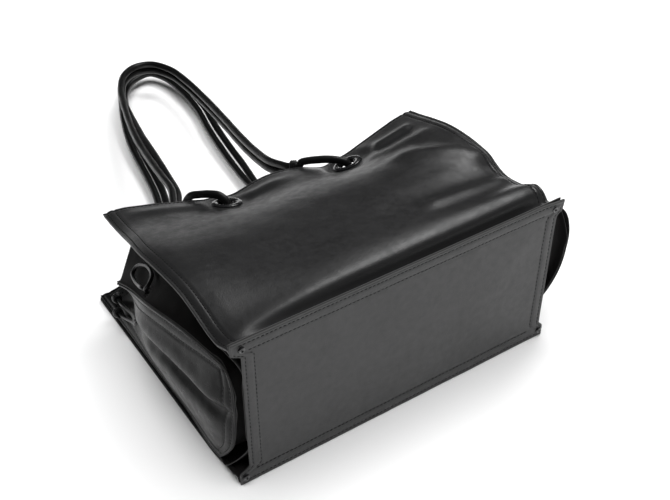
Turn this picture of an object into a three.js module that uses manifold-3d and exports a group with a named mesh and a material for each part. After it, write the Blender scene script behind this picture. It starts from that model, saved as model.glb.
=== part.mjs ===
// Leather tote bag lying on its back panel, with its opening away from the viewer.
// Millimetres, Z up. X runs along the width of the base, Y from the base to the rim.
// The origin is the middle of the flat part of the back panel, on its underside.
import * as THREE from "three";
import { mergeVertices } from "three/addons/utils/BufferGeometryUtils.js";
import Module from "manifold-3d";

const wasm = await Module();
wasm.setup();

// Sizes of the bag
const baseWidth = 330;
const baseDepth = 148;
const panelReach = 274;
const restCentre = 128;

// Leather and seams
const panelLeather = 2;
const baseLeather = 2.5;
const gussetLeather = 1.6;
const bellowsLeather = 1.2;
const seamAllowance = 10;
const fit = 0.3;
const flangeLip = 0.8;
const seamRun = 5;
const tabInset = { left: 9.5, right: 5 };
const tabRun = 6;
const baseTaper = 2.5;

// Sizes of the soft shape
const gussetFullness = 10;
const bellowsHalf = 36;
const bellowsTip = 1.7;
const bellowsFoot = 14;
const foldHeight = 4;
const flangeDroop = 3;

// Cords and fittings
const handleCord = 7.5;
const tieCord = 3.4;
const eyeletOuter = 29;
const eyeletInner = 17;
const eyeletBarrel = 1.4;
const eyeletRise = 1.7;
const eyeletFromRim = 26.5;
const collarLength = 6;
const collarWrap = 1.5;
const handleReach = 350;
const rivetWidth = 6;
const rivetRise = 1.6;
const rivetFromEdge = 7;
const tieHole = 10;
const knotWidth = 10;
const knotLength = 8.5;

const half = baseWidth / 2;
const cordRadius = handleCord / 2;
const tieRadius = tieCord / 2;
const strandOffset = (handleCord + fit) / 2;
const panelStart = baseLeather + fit;
const seamAcross = seamAllowance / baseWidth;

// Front panel: rows run from the base seam to the rim, heights are shares of the base depth
const frontHeights = [
  { at: 0.0, left: 0.932, leftMid: 0.932, middle: 0.932, rightMid: 0.932, right: 0.934 },
  { at: 0.035, left: 0.916, leftMid: 0.928, middle: 0.918, rightMid: 0.914, right: 0.928 },
  { at: 0.08, left: 0.9, leftMid: 0.951, middle: 0.957, rightMid: 0.958, right: 0.972 },
  { at: 0.13, left: 0.905, leftMid: 0.954, middle: 0.967, rightMid: 0.971, right: 0.976 },
  { at: 0.2, left: 0.935, leftMid: 0.951, middle: 0.96, rightMid: 0.953, right: 0.915 },
  { at: 0.3, left: 0.959, leftMid: 0.939, middle: 0.934, rightMid: 0.931, right: 0.891 },
  { at: 0.42, left: 0.959, leftMid: 0.916, middle: 0.905, rightMid: 0.925, right: 0.932 },
  { at: 0.55, left: 0.929, leftMid: 0.873, middle: 0.865, rightMid: 0.895, right: 0.958 },
  { at: 0.68, left: 0.868, leftMid: 0.798, middle: 0.798, rightMid: 0.814, right: 0.94 },
  { at: 0.82, left: 0.786, leftMid: 0.69, middle: 0.7, rightMid: 0.685, right: 0.882 },
  { at: 0.92, left: 0.746, leftMid: 0.632, middle: 0.648, rightMid: 0.615, right: 0.832 },
  { at: 1.0, left: 0.723, leftMid: 0.595, middle: 0.611, rightMid: 0.56, right: 0.797 },
];

// Rim of the front panel from its left corner to its right one, as shares of the base depth
const frontRim = [
  { at: 0.0, high: 0.723 },
  { at: 0.14, high: 0.662 },
  { at: 0.25, high: 0.603 },
  { at: 0.38, high: 0.549 },
  { at: 0.5, high: 0.606 },
  { at: 0.6, high: 0.597 },
  { at: 0.7, high: 0.541 },
  { at: 0.82, high: 0.632 },
  { at: 1.0, high: 0.797 },
];

// Side edges of the front panel as shares of half the base width
const frontEdges = [
  { at: 0.0, left: -1, right: 1 },
  { at: 0.09, left: -0.99, right: 1.03 },
  { at: 0.2, left: -0.982, right: 1.04 },
  { at: 0.31, left: -0.97, right: 1.05 },
  { at: 0.44, left: -0.964, right: 1.072 },
  { at: 0.6, left: -0.945, right: 1.082 },
  { at: 0.78, left: -0.885, right: 1.11 },
  { at: 1.0, left: -0.83, right: 1.145 },
];

// How far the rim lies from the base, as shares of the panel's reach
const frontRimAlong = { left: 0.956, right: 0.85 };
const backRimAlong = { left: 1.0, right: 0.956 };
const backRimSide = { left: -0.873, right: 1.079 };

// Folds of the front panel: where each starts and ends, its rise and its width, as shares
const frontFolds = [
  { fromAcross: 0.08, fromAlong: 0.93, toAcross: 0.52, toAlong: 0.9, rise: 0.5, wide: 0.03 },
  { fromAcross: 0.82, fromAlong: 0.88, toAcross: 0.93, toAlong: 0.86, rise: 0.9, wide: 0.028 },
  { fromAcross: 0.76, fromAlong: 0.8, toAcross: 0.93, toAlong: 0.72, rise: 0.6, wide: 0.04 },
  { fromAcross: 0.8, fromAlong: 0.66, toAcross: 0.97, toAlong: 0.4, rise: 0.9, wide: 0.045 },
  { fromAcross: 0.7, fromAlong: 0.25, toAcross: 0.98, toAlong: 0.26, rise: 0.7, wide: 0.035 },
];

// Eyelets of the front panel from the left: place across, and lean toward the rim in degrees
const frontEyeletPlaces = [
  { across: 0.341, lean: 4 },
  { across: 0.737, lean: -2 },
];

// Underside of the back panel from the base to the rim, heights as shares of the base depth:
// it lifts at the base seam, and at the rim where its own handle passes below it
const backHeights = [
  { at: 0.0, atBase: 0.05, atRim: 0 },
  { at: 0.05, atBase: 0.036, atRim: 0 },
  { at: 0.1, atBase: 0.013, atRim: 0 },
  { at: 0.16, atBase: 0, atRim: 0 },
  { at: 0.24, atBase: 0, atRim: 0 },
  { at: 0.64, atBase: 0, atRim: 0 },
  { at: 0.72, atBase: 0, atRim: 0 },
  { at: 0.78, atBase: 0, atRim: 0.02 },
  { at: 0.83, atBase: 0, atRim: 0.052 },
  { at: 0.88, atBase: 0, atRim: 0.074 },
  { at: 1.0, atBase: 0, atRim: 0.074 },
];

// Share of that lift at the rim, from the left edge to the right one
const backLift = [
  { at: 0.0, share: 0 },
  { at: 0.15, share: 0 },
  { at: 0.2, share: 0.45 },
  { at: 0.25, share: 1 },
  { at: 0.5, share: 0.95 },
  { at: 0.75, share: 1 },
  { at: 0.8, share: 0.45 },
  { at: 0.85, share: 0 },
  { at: 1.0, share: 0 },
];

// Gussets from the base to the rim: along in shares of the reach, out in shares of half the base
// width, high in shares of the base depth
const leftGusset = [
  { at: 0.0, floorAlong: 0.113, floorOut: 0.994, ridgeAlong: 0.088, ridgeOut: 0.99, high: 0.764 },
  { at: 0.12, floorAlong: 0.2, floorOut: 0.979, ridgeAlong: 0.182, ridgeOut: 0.988, high: 0.743 },
  { at: 0.3, floorAlong: 0.347, floorOut: 0.948, ridgeAlong: 0.321, ridgeOut: 0.982, high: 0.703 },
  { at: 0.45, floorAlong: 0.474, floorOut: 0.933, ridgeAlong: 0.445, ridgeOut: 0.976, high: 0.642 },
  { at: 0.6, floorAlong: 0.602, floorOut: 0.918, ridgeAlong: 0.555, ridgeOut: 0.961, high: 0.574 },
  { at: 0.8, floorAlong: 0.81, floorOut: 0.894, ridgeAlong: 0.71, ridgeOut: 0.905, high: 0.43 },
  { at: 1.0, floorAlong: 1.0, floorOut: 0.873, ridgeAlong: 0.861, ridgeOut: 0.867, high: 0.29 },
];
const rightGusset = [
  { at: 0.0, floorAlong: 0.113, floorOut: 0.998, ridgeAlong: 0.07, ridgeOut: 1.165, high: 0.79 },
  { at: 0.12, floorAlong: 0.2, floorOut: 1.005, ridgeAlong: 0.16, ridgeOut: 1.145, high: 0.768 },
  { at: 0.3, floorAlong: 0.34, floorOut: 1.018, ridgeAlong: 0.3, ridgeOut: 1.115, high: 0.716 },
  { at: 0.45, floorAlong: 0.46, floorOut: 1.03, ridgeAlong: 0.42, ridgeOut: 1.095, high: 0.662 },
  { at: 0.6, floorAlong: 0.58, floorOut: 1.043, ridgeAlong: 0.53, ridgeOut: 1.08, high: 0.595 },
  { at: 0.8, floorAlong: 0.77, floorOut: 1.061, ridgeAlong: 0.7, ridgeOut: 1.06, high: 0.46 },
  { at: 1.0, floorAlong: 0.945, floorOut: 1.079, ridgeAlong: 0.86, ridgeOut: 1.04, high: 0.34 },
];

// Fullness of the gusset faces, outward, as shares of the gusset fullness
const leftFullness = [
  { at: 0.0, low: 0, lower: 0, belly: 0, dip: 0, crease: 0, shelf: 0 },
  { at: 0.05, low: 0.1, lower: 0.35, belly: 0.5, dip: 0.15, crease: 0.6, shelf: 0.3 },
  { at: 0.12, low: 0.2, lower: 0.6, belly: 0.8, dip: 0.2, crease: 0.95, shelf: 0.45 },
  { at: 0.3, low: 0.2, lower: 0.7, belly: 0.95, dip: 0.3, crease: 1.0, shelf: 0.5 },
  { at: 0.5, low: 0.1, lower: 0.5, belly: 0.8, dip: 0.4, crease: 0.9, shelf: 0.45 },
  { at: 0.65, low: 0.0, lower: 0.1, belly: 0.1, dip: 0.1, crease: 0.5, shelf: 0.3 },
  { at: 0.8, low: -0.2, lower: -0.8, belly: -1.1, dip: -0.9, crease: -0.6, shelf: -0.2 },
  { at: 1.0, low: -0.5, lower: -1.9, belly: -3.1, dip: -2.9, crease: -2.2, shelf: -0.9 },
];
const rightFullness = [
  { at: 0.0, low: 0, lower: 0, belly: 0.3, dip: 0.3, crease: 0.2, shelf: 0.1 },
  { at: 0.12, low: 0.1, lower: 0.35, belly: 0.7, dip: 0.6, crease: 0.6, shelf: 0.3 },
  { at: 0.3, low: 0.2, lower: 0.6, belly: 0.9, dip: 0.5, crease: 0.8, shelf: 0.45 },
  { at: 0.5, low: 0.1, lower: 0.4, belly: 0.6, dip: 0.3, crease: 0.6, shelf: 0.3 },
  { at: 0.7, low: 0, lower: -0.2, belly: -0.4, dip: -0.4, crease: -0.2, shelf: 0 },
  { at: 1.0, low: -0.4, lower: -1.5, belly: -2.5, dip: -2.3, crease: -1.7, shelf: -0.7 },
];
const fullnessPlaces = { low: 0.12, lower: 0.3, belly: 0.5, dip: 0.62, crease: 0.72, shelf: 0.86 };

// Edge of the gusset beside the base, from the floor to the ridge: its distance from the base
// as a share of the seam allowance, beyond the line through the corners
const gussetHem = [
  { at: 0.0, along: 3.1 },
  { at: 0.06, along: 2.5 },
  { at: 0.21, along: 1.3 },
  { at: 0.3, along: 0.88 },
  { at: 0.42, along: 0.62 },
  { at: 0.56, along: 0.5 },
  { at: 0.68, along: 0.48 },
  { at: 0.82, along: 0.58 },
  { at: 0.92, along: 0.98 },
  { at: 0.98, along: 1.55 },
  { at: 1.0, along: 2.3 },
];

// Middle line between the two strands of each handle, from its left eyelet to its right one:
// side in shares of half the base width, beyond in shares of the handle reach past the rim
// line, high in shares of the base depth, turn is the roll of the pair in degrees, and apart says
// how far the strands lie apart in shares of the cord
const frontHandleLine = [
  { side: -0.347, beyond: 0.005, high: 0.507, turn: 60, apart: 1 },
  { side: -0.283, beyond: 0.094, high: 0.5, turn: 45, apart: 1 },
  { side: -0.234, beyond: 0.182, high: 0.473, turn: 30, apart: 1 },
  { side: -0.189, beyond: 0.27, high: 0.446, turn: 15, apart: 1 },
  { side: -0.129, beyond: 0.38, high: 0.405, turn: 8, apart: 1 },
  { side: -0.074, beyond: 0.477, high: 0.372, turn: 18, apart: 1 },
  { side: 0.02, beyond: 0.612, high: 0.318, turn: 42, apart: 1 },
  { side: 0.108, beyond: 0.729, high: 0.277, turn: 66, apart: 1 },
  { side: 0.191, beyond: 0.825, high: 0.25, turn: 82, apart: 1 },
  { side: 0.313, beyond: 0.911, high: 0.23, turn: 88, apart: 1 },
  { side: 0.449, beyond: 0.951, high: 0.216, turn: 90, apart: 1 },
  { side: 0.559, beyond: 0.935, high: 0.216, turn: 90, apart: 1 },
  { side: 0.619, beyond: 0.864, high: 0.226, turn: 90, apart: 1 },
  { side: 0.616, beyond: 0.752, high: 0.243, turn: 90, apart: 1 },
  { side: 0.57, beyond: 0.597, high: 0.277, turn: 90, apart: 1 },
  { side: 0.497, beyond: 0.433, high: 0.331, turn: 90, apart: 1 },
  { side: 0.416, beyond: 0.276, high: 0.392, turn: 88, apart: 1 },
  { side: 0.36, beyond: 0.154, high: 0.446, turn: 86, apart: 1 },
  { side: 0.325, beyond: 0.056, high: 0.503, turn: 84, apart: 1 },
  { side: 0.336, beyond: 0.005, high: 0.534, turn: 82, apart: 1 },
  { side: 0.376, beyond: -0.03, high: 0.552, turn: 80, apart: 1 },
];
const backHandleLine = [
  { side: -0.3, beyond: 0.1, high: 0.078, turn: -84, apart: 1 },
  { side: -0.255, beyond: 0.17, high: 0.064, turn: -40, apart: 1.05 },
  { side: -0.107, beyond: 0.342, high: 0.071, turn: -10, apart: 1.05 },
  { side: -0.052, beyond: 0.435, high: 0.071, turn: -4, apart: 1.05 },
  { side: -0.014, beyond: 0.51, high: 0.071, turn: 0, apart: 1.05 },
  { side: 0.029, beyond: 0.594, high: 0.071, turn: 5, apart: 1.05 },
  { side: 0.079, beyond: 0.675, high: 0.074, turn: 15, apart: 1 },
  { side: 0.157, beyond: 0.773, high: 0.078, turn: 35, apart: 1 },
  { side: 0.236, beyond: 0.859, high: 0.081, turn: 55, apart: 1 },
  { side: 0.31, beyond: 0.927, high: 0.084, turn: 66, apart: 1 },
  { side: 0.407, beyond: 0.982, high: 0.088, turn: 50, apart: 1 },
  { side: 0.515, beyond: 1.006, high: 0.088, turn: 28, apart: 1 },
  { side: 0.615, beyond: 1.003, high: 0.088, turn: 14, apart: 1 },
  { side: 0.685, beyond: 0.939, high: 0.086, turn: 12, apart: 1 },
  { side: 0.69, beyond: 0.837, high: 0.082, turn: 12, apart: 1 },
  { side: 0.657, beyond: 0.708, high: 0.078, turn: 12, apart: 1.08 },
  { side: 0.58, beyond: 0.569, high: 0.074, turn: 5, apart: 1.2 },
  { side: 0.523, beyond: 0.446, high: 0.071, turn: 3, apart: 1.25 },
  { side: 0.482, beyond: 0.344, high: 0.068, turn: 0, apart: 1.3 },
  { side: 0.445, beyond: 0.244, high: 0.064, turn: -20, apart: 1.2 },
  { side: 0.43, beyond: 0.17, high: 0.066, turn: -50, apart: 1.05 },
  { side: 0.44, beyond: 0.1, high: 0.078, turn: -84, apart: 1 },
];

// Route of a handle cord through an eyelet: forward is toward the rim, out is off the leather
const frontLeftArch = [
  { forward: 41.3, out: 1.2 },
  { forward: 36.6, out: 6 },
  { forward: 28, out: 7.8 },
  { forward: 17, out: 8.8 },
  { forward: 7, out: 7.8 },
  { forward: 0.3, out: 2.5 },
  { forward: 0, out: -4 },
  { forward: 8, out: -10.2 },
  { forward: 22, out: -11.5 },
];
const frontRightArch = [
  { forward: 42.3, out: 17.3 },
  { forward: 34, out: 16.7 },
  { forward: 26, out: 14.8 },
  { forward: 17, out: 12.2 },
  { forward: 7.5, out: 8 },
  { forward: 0.3, out: 2.5 },
  { forward: 0, out: -4 },
  { forward: 7, out: -9.5 },
  { forward: 20, out: -8 },
  { forward: 37.5, out: 2.25 },
];
const backArch = [
  { forward: 30, out: 7.6 },
  { forward: 17, out: 7.6 },
  { forward: 9, out: 7.5 },
  { forward: 2, out: 5 },
  { forward: -0.5, out: -1 },
  { forward: 1.5, out: -7.5 },
  { forward: 10, out: -10.5 },
  { forward: 26, out: -9 },
];
const handleStep = 30;

// Line of a side tie from its upper knot through the gusset and the bellows, round in the fold of
// the bellows and back to its lower knot: across and along are shares of the gusset, or of the
// inner ply of the bellows from the gusset seam to the fold, and out is the distance off it
const tieLine = [
  { on: "gusset", across: 0.2, along: 0.91, out: 5.8 },
  { on: "gusset", across: 0.23, along: 0.855, out: 4.8 },
  { on: "gusset", across: 0.36, along: 0.775, out: 4.2 },
  { on: "gusset", across: 0.52, along: 0.71, out: 4.4 },
  { on: "gusset", across: 0.61, along: 0.673, out: 4 },
  { on: "gusset", across: 0.622, along: 0.667, out: -0.8 },
  { on: "gusset", across: 0.63, along: 0.667, out: -8 },
  { on: "ply", across: 0.34, along: 0.678, out: -5 },
  { on: "ply", across: 0.34, along: 0.678, out: 0.5 },
  { on: "ply", across: 0.33, along: 0.69, out: 5 },
  { on: "ply", across: 0.29, along: 0.75, out: 4.6 },
  { on: "ply", across: 0.28, along: 0.82, out: 4.2 },
  { on: "ply", across: 0.38, along: 0.87, out: 4.2 },
  { on: "ply", across: 0.56, along: 0.865, out: 4.2 },
  { on: "ply", across: 0.71, along: 0.81, out: 4 },
  { on: "ply", across: 0.76, along: 0.74, out: 3.8 },
  { on: "ply", across: 0.68, along: 0.675, out: 4 },
  { on: "ply", across: 0.5, along: 0.65, out: 5 },
  { on: "ply", across: 0.36, along: 0.658, out: 4.6 },
  { on: "ply", across: 0.34, along: 0.662, out: 0.5 },
  { on: "ply", across: 0.34, along: 0.662, out: -5 },
  { on: "gusset", across: 0.63, along: 0.653, out: -8 },
  { on: "gusset", across: 0.622, along: 0.653, out: -0.8 },
  { on: "gusset", across: 0.6, along: 0.657, out: 4 },
  { on: "gusset", across: 0.48, along: 0.685, out: 4.4 },
  { on: "gusset", across: 0.35, along: 0.73, out: 4 },
  { on: "gusset", across: 0.2, along: 0.79, out: 4.8 },
  { on: "gusset", across: 0.14, along: 0.84, out: 5.8 },
];
const tieHoles = { gussetAcross: 0.62, gussetAlong: 0.66, plyShare: 0.34, plyAlong: 0.67 };
const tieStep = 14;

const colours = {
  panel: 0x232324,
  base: 0x29292a,
  gusset: 0x202021,
  bellows: 0x161617,
  cord: 0x1d1d1e,
  fitting: 0x0c0c0d,
};

function ease(share) {
  const s = THREE.MathUtils.clamp(share, 0, 1);
  return s * s * (3 - 2 * s);
}

// A smooth line through one column of a table, read at a place between its first and last row
function follow(rows, place, column) {
  const last = rows.length - 1;
  let i = 0;
  while (i < last - 1 && place > rows[i + 1].at) i++;
  const before = rows[Math.max(i - 1, 0)];
  const from = rows[i];
  const to = rows[i + 1];
  const after = rows[Math.min(i + 2, last)];
  const span = to.at - from.at;
  const s = THREE.MathUtils.clamp((place - from.at) / span, 0, 1);
  const leave = ((to[column] - before[column]) / (to.at - before.at)) * span;
  const arrive = ((after[column] - from[column]) / (after.at - from.at)) * span;
  const s2 = s * s;
  const s3 = s2 * s;
  return (
    (2 * s3 - 3 * s2 + 1) * from[column] +
    (s3 - 2 * s2 + s) * leave +
    (3 * s2 - 2 * s3) * to[column] +
    (s3 - s2) * arrive
  );
}

function mix(a, b, share) {
  return a + (b - a) * share;
}

function spread(from, to, count) {
  return Array.from({ length: count }, (_, i) => mix(from, to, i / (count - 1)));
}

// Face directions of a grid of points, averaged at each point
function gridNormals(grid) {
  const rows = grid.length;
  const columns = grid[0].length;
  return grid.map((row, i) =>
    row.map((_, j) => {
      const along = grid[Math.min(i + 1, rows - 1)][j].clone();
      along.sub(grid[Math.max(i - 1, 0)][j]);
      const across = grid[i][Math.min(j + 1, columns - 1)].clone();
      across.sub(grid[i][Math.max(j - 1, 0)]);
      return across.cross(along).normalize();
    }),
  );
}

// A closed sheet of leather over a grid: it reaches `over` outside the grid and `under` inside
function sheet(grid, over, under, flip) {
  const normals = gridNormals(grid);
  const rows = grid.length;
  const columns = grid[0].length;
  const sign = flip ? -1 : 1;
  const positions = [];
  for (const reach of [over, -under])
    grid.forEach((row, i) =>
      row.forEach((point, j) =>
        positions.push(...point.clone().addScaledVector(normals[i][j], sign * reach).toArray()),
      ),
    );
  const top = (i, j) => i * columns + j;
  const bottom = (i, j) => rows * columns + top(i, j);
  const faces = [];
  const quad = (a, b, c, d) => faces.push(a, b, c, a, c, d);
  for (let i = 0; i + 1 < rows; i++)
    for (let j = 0; j + 1 < columns; j++) {
      quad(top(i, j), top(i, j + 1), top(i + 1, j + 1), top(i + 1, j));
      quad(bottom(i, j), bottom(i + 1, j), bottom(i + 1, j + 1), bottom(i, j + 1));
    }
  for (let j = 0; j + 1 < columns; j++) {
    quad(top(0, j + 1), top(0, j), bottom(0, j), bottom(0, j + 1));
    const e = rows - 1;
    quad(top(e, j), top(e, j + 1), bottom(e, j + 1), bottom(e, j));
  }
  for (let i = 0; i + 1 < rows; i++) {
    quad(top(i, 0), top(i + 1, 0), bottom(i + 1, 0), bottom(i, 0));
    const e = columns - 1;
    quad(top(i + 1, e), top(i, e), bottom(i, e), bottom(i + 1, e));
  }
  if (flip)
    for (let k = 0; k < faces.length; k += 3) {
      const held = faces[k + 1];
      faces[k + 1] = faces[k + 2];
      faces[k + 2] = held;
    }
  return closed(positions, faces);
}

function closed(positions, faces) {
  const geometry = new THREE.BufferGeometry();
  geometry.setAttribute("position", new THREE.Float32BufferAttribute(positions, 3));
  geometry.setIndex(faces);
  return geometry;
}

function toSolid(geometry) {
  const bare = geometry.clone();
  bare.deleteAttribute("normal");
  bare.deleteAttribute("uv");
  const merged = mergeVertices(bare, 1e-4);
  return new wasm.Manifold(
    new wasm.Mesh({
      numProp: 3,
      vertProperties: new Float32Array(merged.attributes.position.array),
      triVerts: new Uint32Array(merged.index.array),
    }),
  );
}

function fromSolid(solid) {
  const mesh = solid.getMesh();
  const geometry = new THREE.BufferGeometry();
  const wide = mesh.numProp;
  const positions = [];
  for (let i = 0; i < mesh.numVert; i++)
    positions.push(...mesh.vertProperties.subarray(i * wide, i * wide + 3));
  geometry.setAttribute("position", new THREE.Float32BufferAttribute(positions, 3));
  geometry.setIndex([...mesh.triVerts]);
  return geometry;
}

function cut(geometry, tools) {
  let solid = toSolid(geometry);
  for (const tool of tools) solid = solid.subtract(toSolid(tool));
  const largest = solid.decompose().reduce((a, b) => (a.volume() > b.volume() ? a : b));
  return fromSolid(largest);
}

// A round cord along a line of points, with a ring every `step` and at each point; a closed one
// joins its end to its start
function cord(points, radius, step, sides, joined) {
  const line = new THREE.CatmullRomCurve3(points, joined, "centripetal");
  const spans = joined ? points.length : points.length - 1;
  const shares = [];
  for (let i = 0; i < spans; i++) {
    const length = points[i].distanceTo(points[(i + 1) % points.length]);
    const pieces = Math.max(1, Math.round(length / step));
    for (let k = 0; k < pieces; k++) shares.push((i + k / pieces) / spans);
  }
  if (!joined) shares.push(1);
  const count = shares.length;
  const places = shares.map((share) => line.getPoint(share));
  const heading = (i) => line.getTangent(shares[i]);
  const start = heading(0);
  const upright = Math.abs(start.z) < 0.9 ? new THREE.Vector3(0, 0, 1) : new THREE.Vector3(1, 0, 0);
  let side = upright.clone().cross(start).normalize();
  const sidesAt = [side.clone()];
  for (let i = 1; i <= count; i++) {
    const turn = new THREE.Quaternion().setFromUnitVectors(heading(i - 1), heading(i % count));
    side = side.clone().applyQuaternion(turn).normalize();
    sidesAt.push(side.clone());
  }
  const first = start.clone().cross(sidesAt[0]);
  const drift = joined ? Math.atan2(sidesAt[count].dot(first), sidesAt[count].dot(sidesAt[0])) : 0;
  const positions = [];
  for (let i = 0; i < count; i++) {
    const ahead = heading(i);
    const across = sidesAt[i].clone().applyAxisAngle(ahead, (-drift * i) / count);
    const up = ahead.clone().cross(across);
    for (let k = 0; k < sides; k++) {
      const angle = (k / sides) * Math.PI * 2;
      const place = places[i].clone();
      place.addScaledVector(across, Math.cos(angle) * radius);
      place.addScaledVector(up, Math.sin(angle) * radius);
      positions.push(...place.toArray());
    }
  }
  const faces = [];
  const rings = joined ? count : count - 1;
  for (let i = 0; i < rings; i++)
    for (let k = 0; k < sides; k++) {
      const a = i * sides + k;
      const b = i * sides + ((k + 1) % sides);
      const c = ((i + 1) % count) * sides + ((k + 1) % sides);
      const d = ((i + 1) % count) * sides + k;
      faces.push(a, b, c, a, c, d);
    }
  if (!joined)
    for (let k = 1; k + 1 < sides; k++) {
      faces.push(0, k + 1, k);
      const e = (count - 1) * sides;
      faces.push(e, e + k, e + k + 1);
    }
  return closed(positions, faces);
}

// A ring or disc turned about an axis through `centre`
function turned(profile, sides, centre, axis) {
  const geometry = new THREE.LatheGeometry(
    profile.map(([r, h]) => new THREE.Vector2(r, h)),
    sides,
  );
  const turn = new THREE.Quaternion().setFromUnitVectors(new THREE.Vector3(0, 1, 0), axis);
  geometry.applyQuaternion(turn);
  geometry.translate(centre.x, centre.y, centre.z);
  return geometry;
}

// Base panel: a stiff rectangle with its edges set in between the corner tabs
function baseEdge(side, high) {
  const fromEnd = Math.min(high, baseDepth - high);
  const inset = side < 0 ? tabInset.left : tabInset.right;
  const taper = mix(-baseTaper, baseTaper, high / baseDepth);
  return side * (half + taper - inset * ease((fromEnd - seamAllowance) / tabRun));
}

function basePoint(across, up) {
  const high = up * baseDepth;
  return new THREE.Vector3(mix(baseEdge(-1, high), baseEdge(1, high), across), 0, high);
}

// The bend from a panel into its flange, from the seam to the tip of the flange
const groove = [
  { at: 0.0, toBase: 0, toTip: 0 },
  { at: 0.3, toBase: 0.6, toTip: 0.02 },
  { at: 0.55, toBase: 0.95, toTip: 0.16 },
  { at: 1.0, toBase: 1, toTip: 1 },
];

// Front panel: its flange stands against the base, then it rolls over and runs to the rim
function frontFold(across, along) {
  let rise = 0;
  for (const fold of frontFolds) {
    const dx = fold.toAcross - fold.fromAcross;
    const dy = fold.toAlong - fold.fromAlong;
    const px = across - fold.fromAcross;
    const py = along - fold.fromAlong;
    const length = Math.hypot(dx, dy);
    const share = (px * dx + py * dy) / (length * length);
    const off = Math.abs(px * dy - py * dx) / length;
    const ends = ease(share * 4 + 0.5) * ease((1 - share) * 4 + 0.5);
    rise += fold.rise * ends * Math.exp(-((off / fold.wide) ** 2));
  }
  return rise * foldHeight;
}

function frontHeight(across, along) {
  const columns = ["left", "leftMid", "middle", "rightMid", "right"];
  const section = columns.map((column, i) => ({
    at: i / (columns.length - 1),
    high: follow(frontHeights, along, column),
  }));
  const end = frontHeights[frontHeights.length - 1];
  const endSection = columns.map((column, i) => ({ at: i / (columns.length - 1), high: end[column] }));
  const rimChange = follow(frontRim, across, "high") - follow(endSection, across, "high");
  const nearRim = ease((along - 0.62) / 0.38);
  const high = follow(section, across, "high") + rimChange * nearRim;
  const droop = ease(1 - Math.min(across, 1 - across) / seamAcross) * ease(along / 0.08);
  return high * baseDepth + frontFold(across, along) - flangeDroop * droop;
}

function frontPlain(across, along) {
  const left = follow(frontEdges, along, "left") * half;
  const right = follow(frontEdges, along, "right") * half;
  const rim = panelReach * mix(frontRimAlong.left, frontRimAlong.right, across);
  return new THREE.Vector3(
    mix(left, right, across),
    mix(panelStart + seamRun, rim, along),
    frontHeight(across, along),
  );
}

function frontSlope(across, along) {
  const step = 0.02;
  const ahead = frontPlain(across, along + step).sub(frontPlain(across, along - step));
  const aside = frontPlain(across + step, along).sub(frontPlain(across - step, along));
  return aside.cross(ahead).normalize();
}

// Eyelet seats: the leather lies flat around each one
const flatInside = 0.62 * eyeletOuter;
const flatOutside = 0.95 * eyeletOuter;

function seated(point, seats) {
  for (const seat of seats) {
    const off = point.clone().sub(seat.centre);
    const far = Math.hypot(off.x, off.y);
    const hold = 1 - ease((far - flatInside) / (flatOutside - flatInside));
    point.z -= (hold * off.dot(seat.axis)) / seat.axis.z;
  }
  return point;
}

function frontSeat({ across, lean }) {
  const along = 1 - eyeletFromRim / (panelReach * frontRimAlong.left);
  const axis = frontSlope(across, along);
  axis.y += Math.tan(THREE.MathUtils.degToRad(lean));
  return { centre: frontPlain(across, along), axis: axis.normalize() };
}

const frontSeats = frontEyeletPlaces.map(frontSeat);

function flangePoint(seam, side, tip, place) {
  const y = mix(seam.y, panelStart + panelLeather, follow(groove, place, "toBase"));
  const high = mix(seam.z, tip, follow(groove, place, "toTip"));
  return new THREE.Vector3(mix(seam.x, side, place), y, high);
}

function frontPoint(across, along) {
  if (along >= 0) return seated(frontPlain(across, along), frontSeats);
  const side = mix(baseEdge(-1, baseDepth), baseEdge(1, baseDepth), across);
  return flangePoint(frontPlain(across, 0), side, baseDepth - flangeLip, -along);
}

// Back panel: its underside rests on the floor and lifts over its own handle at the rim
function backHeight(across, along) {
  const lift = follow(backHeights, along, "atRim") * follow(backLift, across, "share");
  return Math.max(follow(backHeights, along, "atBase") + lift, 0) * baseDepth;
}

function backPlain(across, along) {
  const rim = panelReach * mix(backRimAlong.left, backRimAlong.right, across);
  const left = mix(-1, backRimSide.left, along) * half;
  const right = mix(1, backRimSide.right, along) * half;
  return new THREE.Vector3(
    mix(left, right, across),
    mix(panelStart + seamRun, rim, along),
    backHeight(across, along),
  );
}

function backPoint(across, along) {
  if (along >= 0) return backPlain(across, along);
  const side = mix(baseEdge(-1, 0), baseEdge(1, 0), across);
  return flangePoint(backPlain(across, 0), side, flangeLip, -along);
}

function backEdgeTop(y) {
  const share = (y - panelStart - seamRun) / (panelReach - panelStart - seamRun);
  return follow(backHeights, share, "atBase") * baseDepth + panelLeather;
}

// Gussets: side panels with their own flange, fuller in the middle and drawn in at the rim
const gussetEdge = bellowsLeather + 4 * fit;
const gussetRimLift = gussetLeather;

function gussetPoint(side, across, along) {
  const rows = side < 0 ? leftGusset : rightGusset;
  const fullness = side < 0 ? leftFullness : rightFullness;
  const places = Object.keys(fullnessPlaces).map((name) => ({
    at: fullnessPlaces[name],
    out: follow(fullness, along, name),
  }));
  const profile = [{ at: 0, out: 0 }, ...places, { at: 1, out: 0 }];
  const full = follow(profile, across, "out") * gussetFullness;
  const out = mix(follow(rows, along, "floorOut"), follow(rows, along, "ridgeOut"), across) * half;
  const hem = follow(gussetHem, across, "along") * seamAllowance;
  const corner = mix(rows[0].floorAlong, rows[0].ridgeAlong, across) * panelReach;
  const reach = mix(follow(rows, along, "floorAlong"), follow(rows, along, "ridgeAlong"), across);
  const y = reach * panelReach + (hem - corner) * (1 - ease(along * 2.4));
  const rimLift = gussetRimLift * ease((along - 0.5) / 0.3);
  const backTop = backEdgeTop(follow(rows, along, "floorAlong") * panelReach);
  const floorEdge = backTop + gussetEdge + rimLift;
  const high = mix(floorEdge, follow(rows, along, "high") * baseDepth, across);
  return new THREE.Vector3(side * (out + full), y, high);
}

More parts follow.
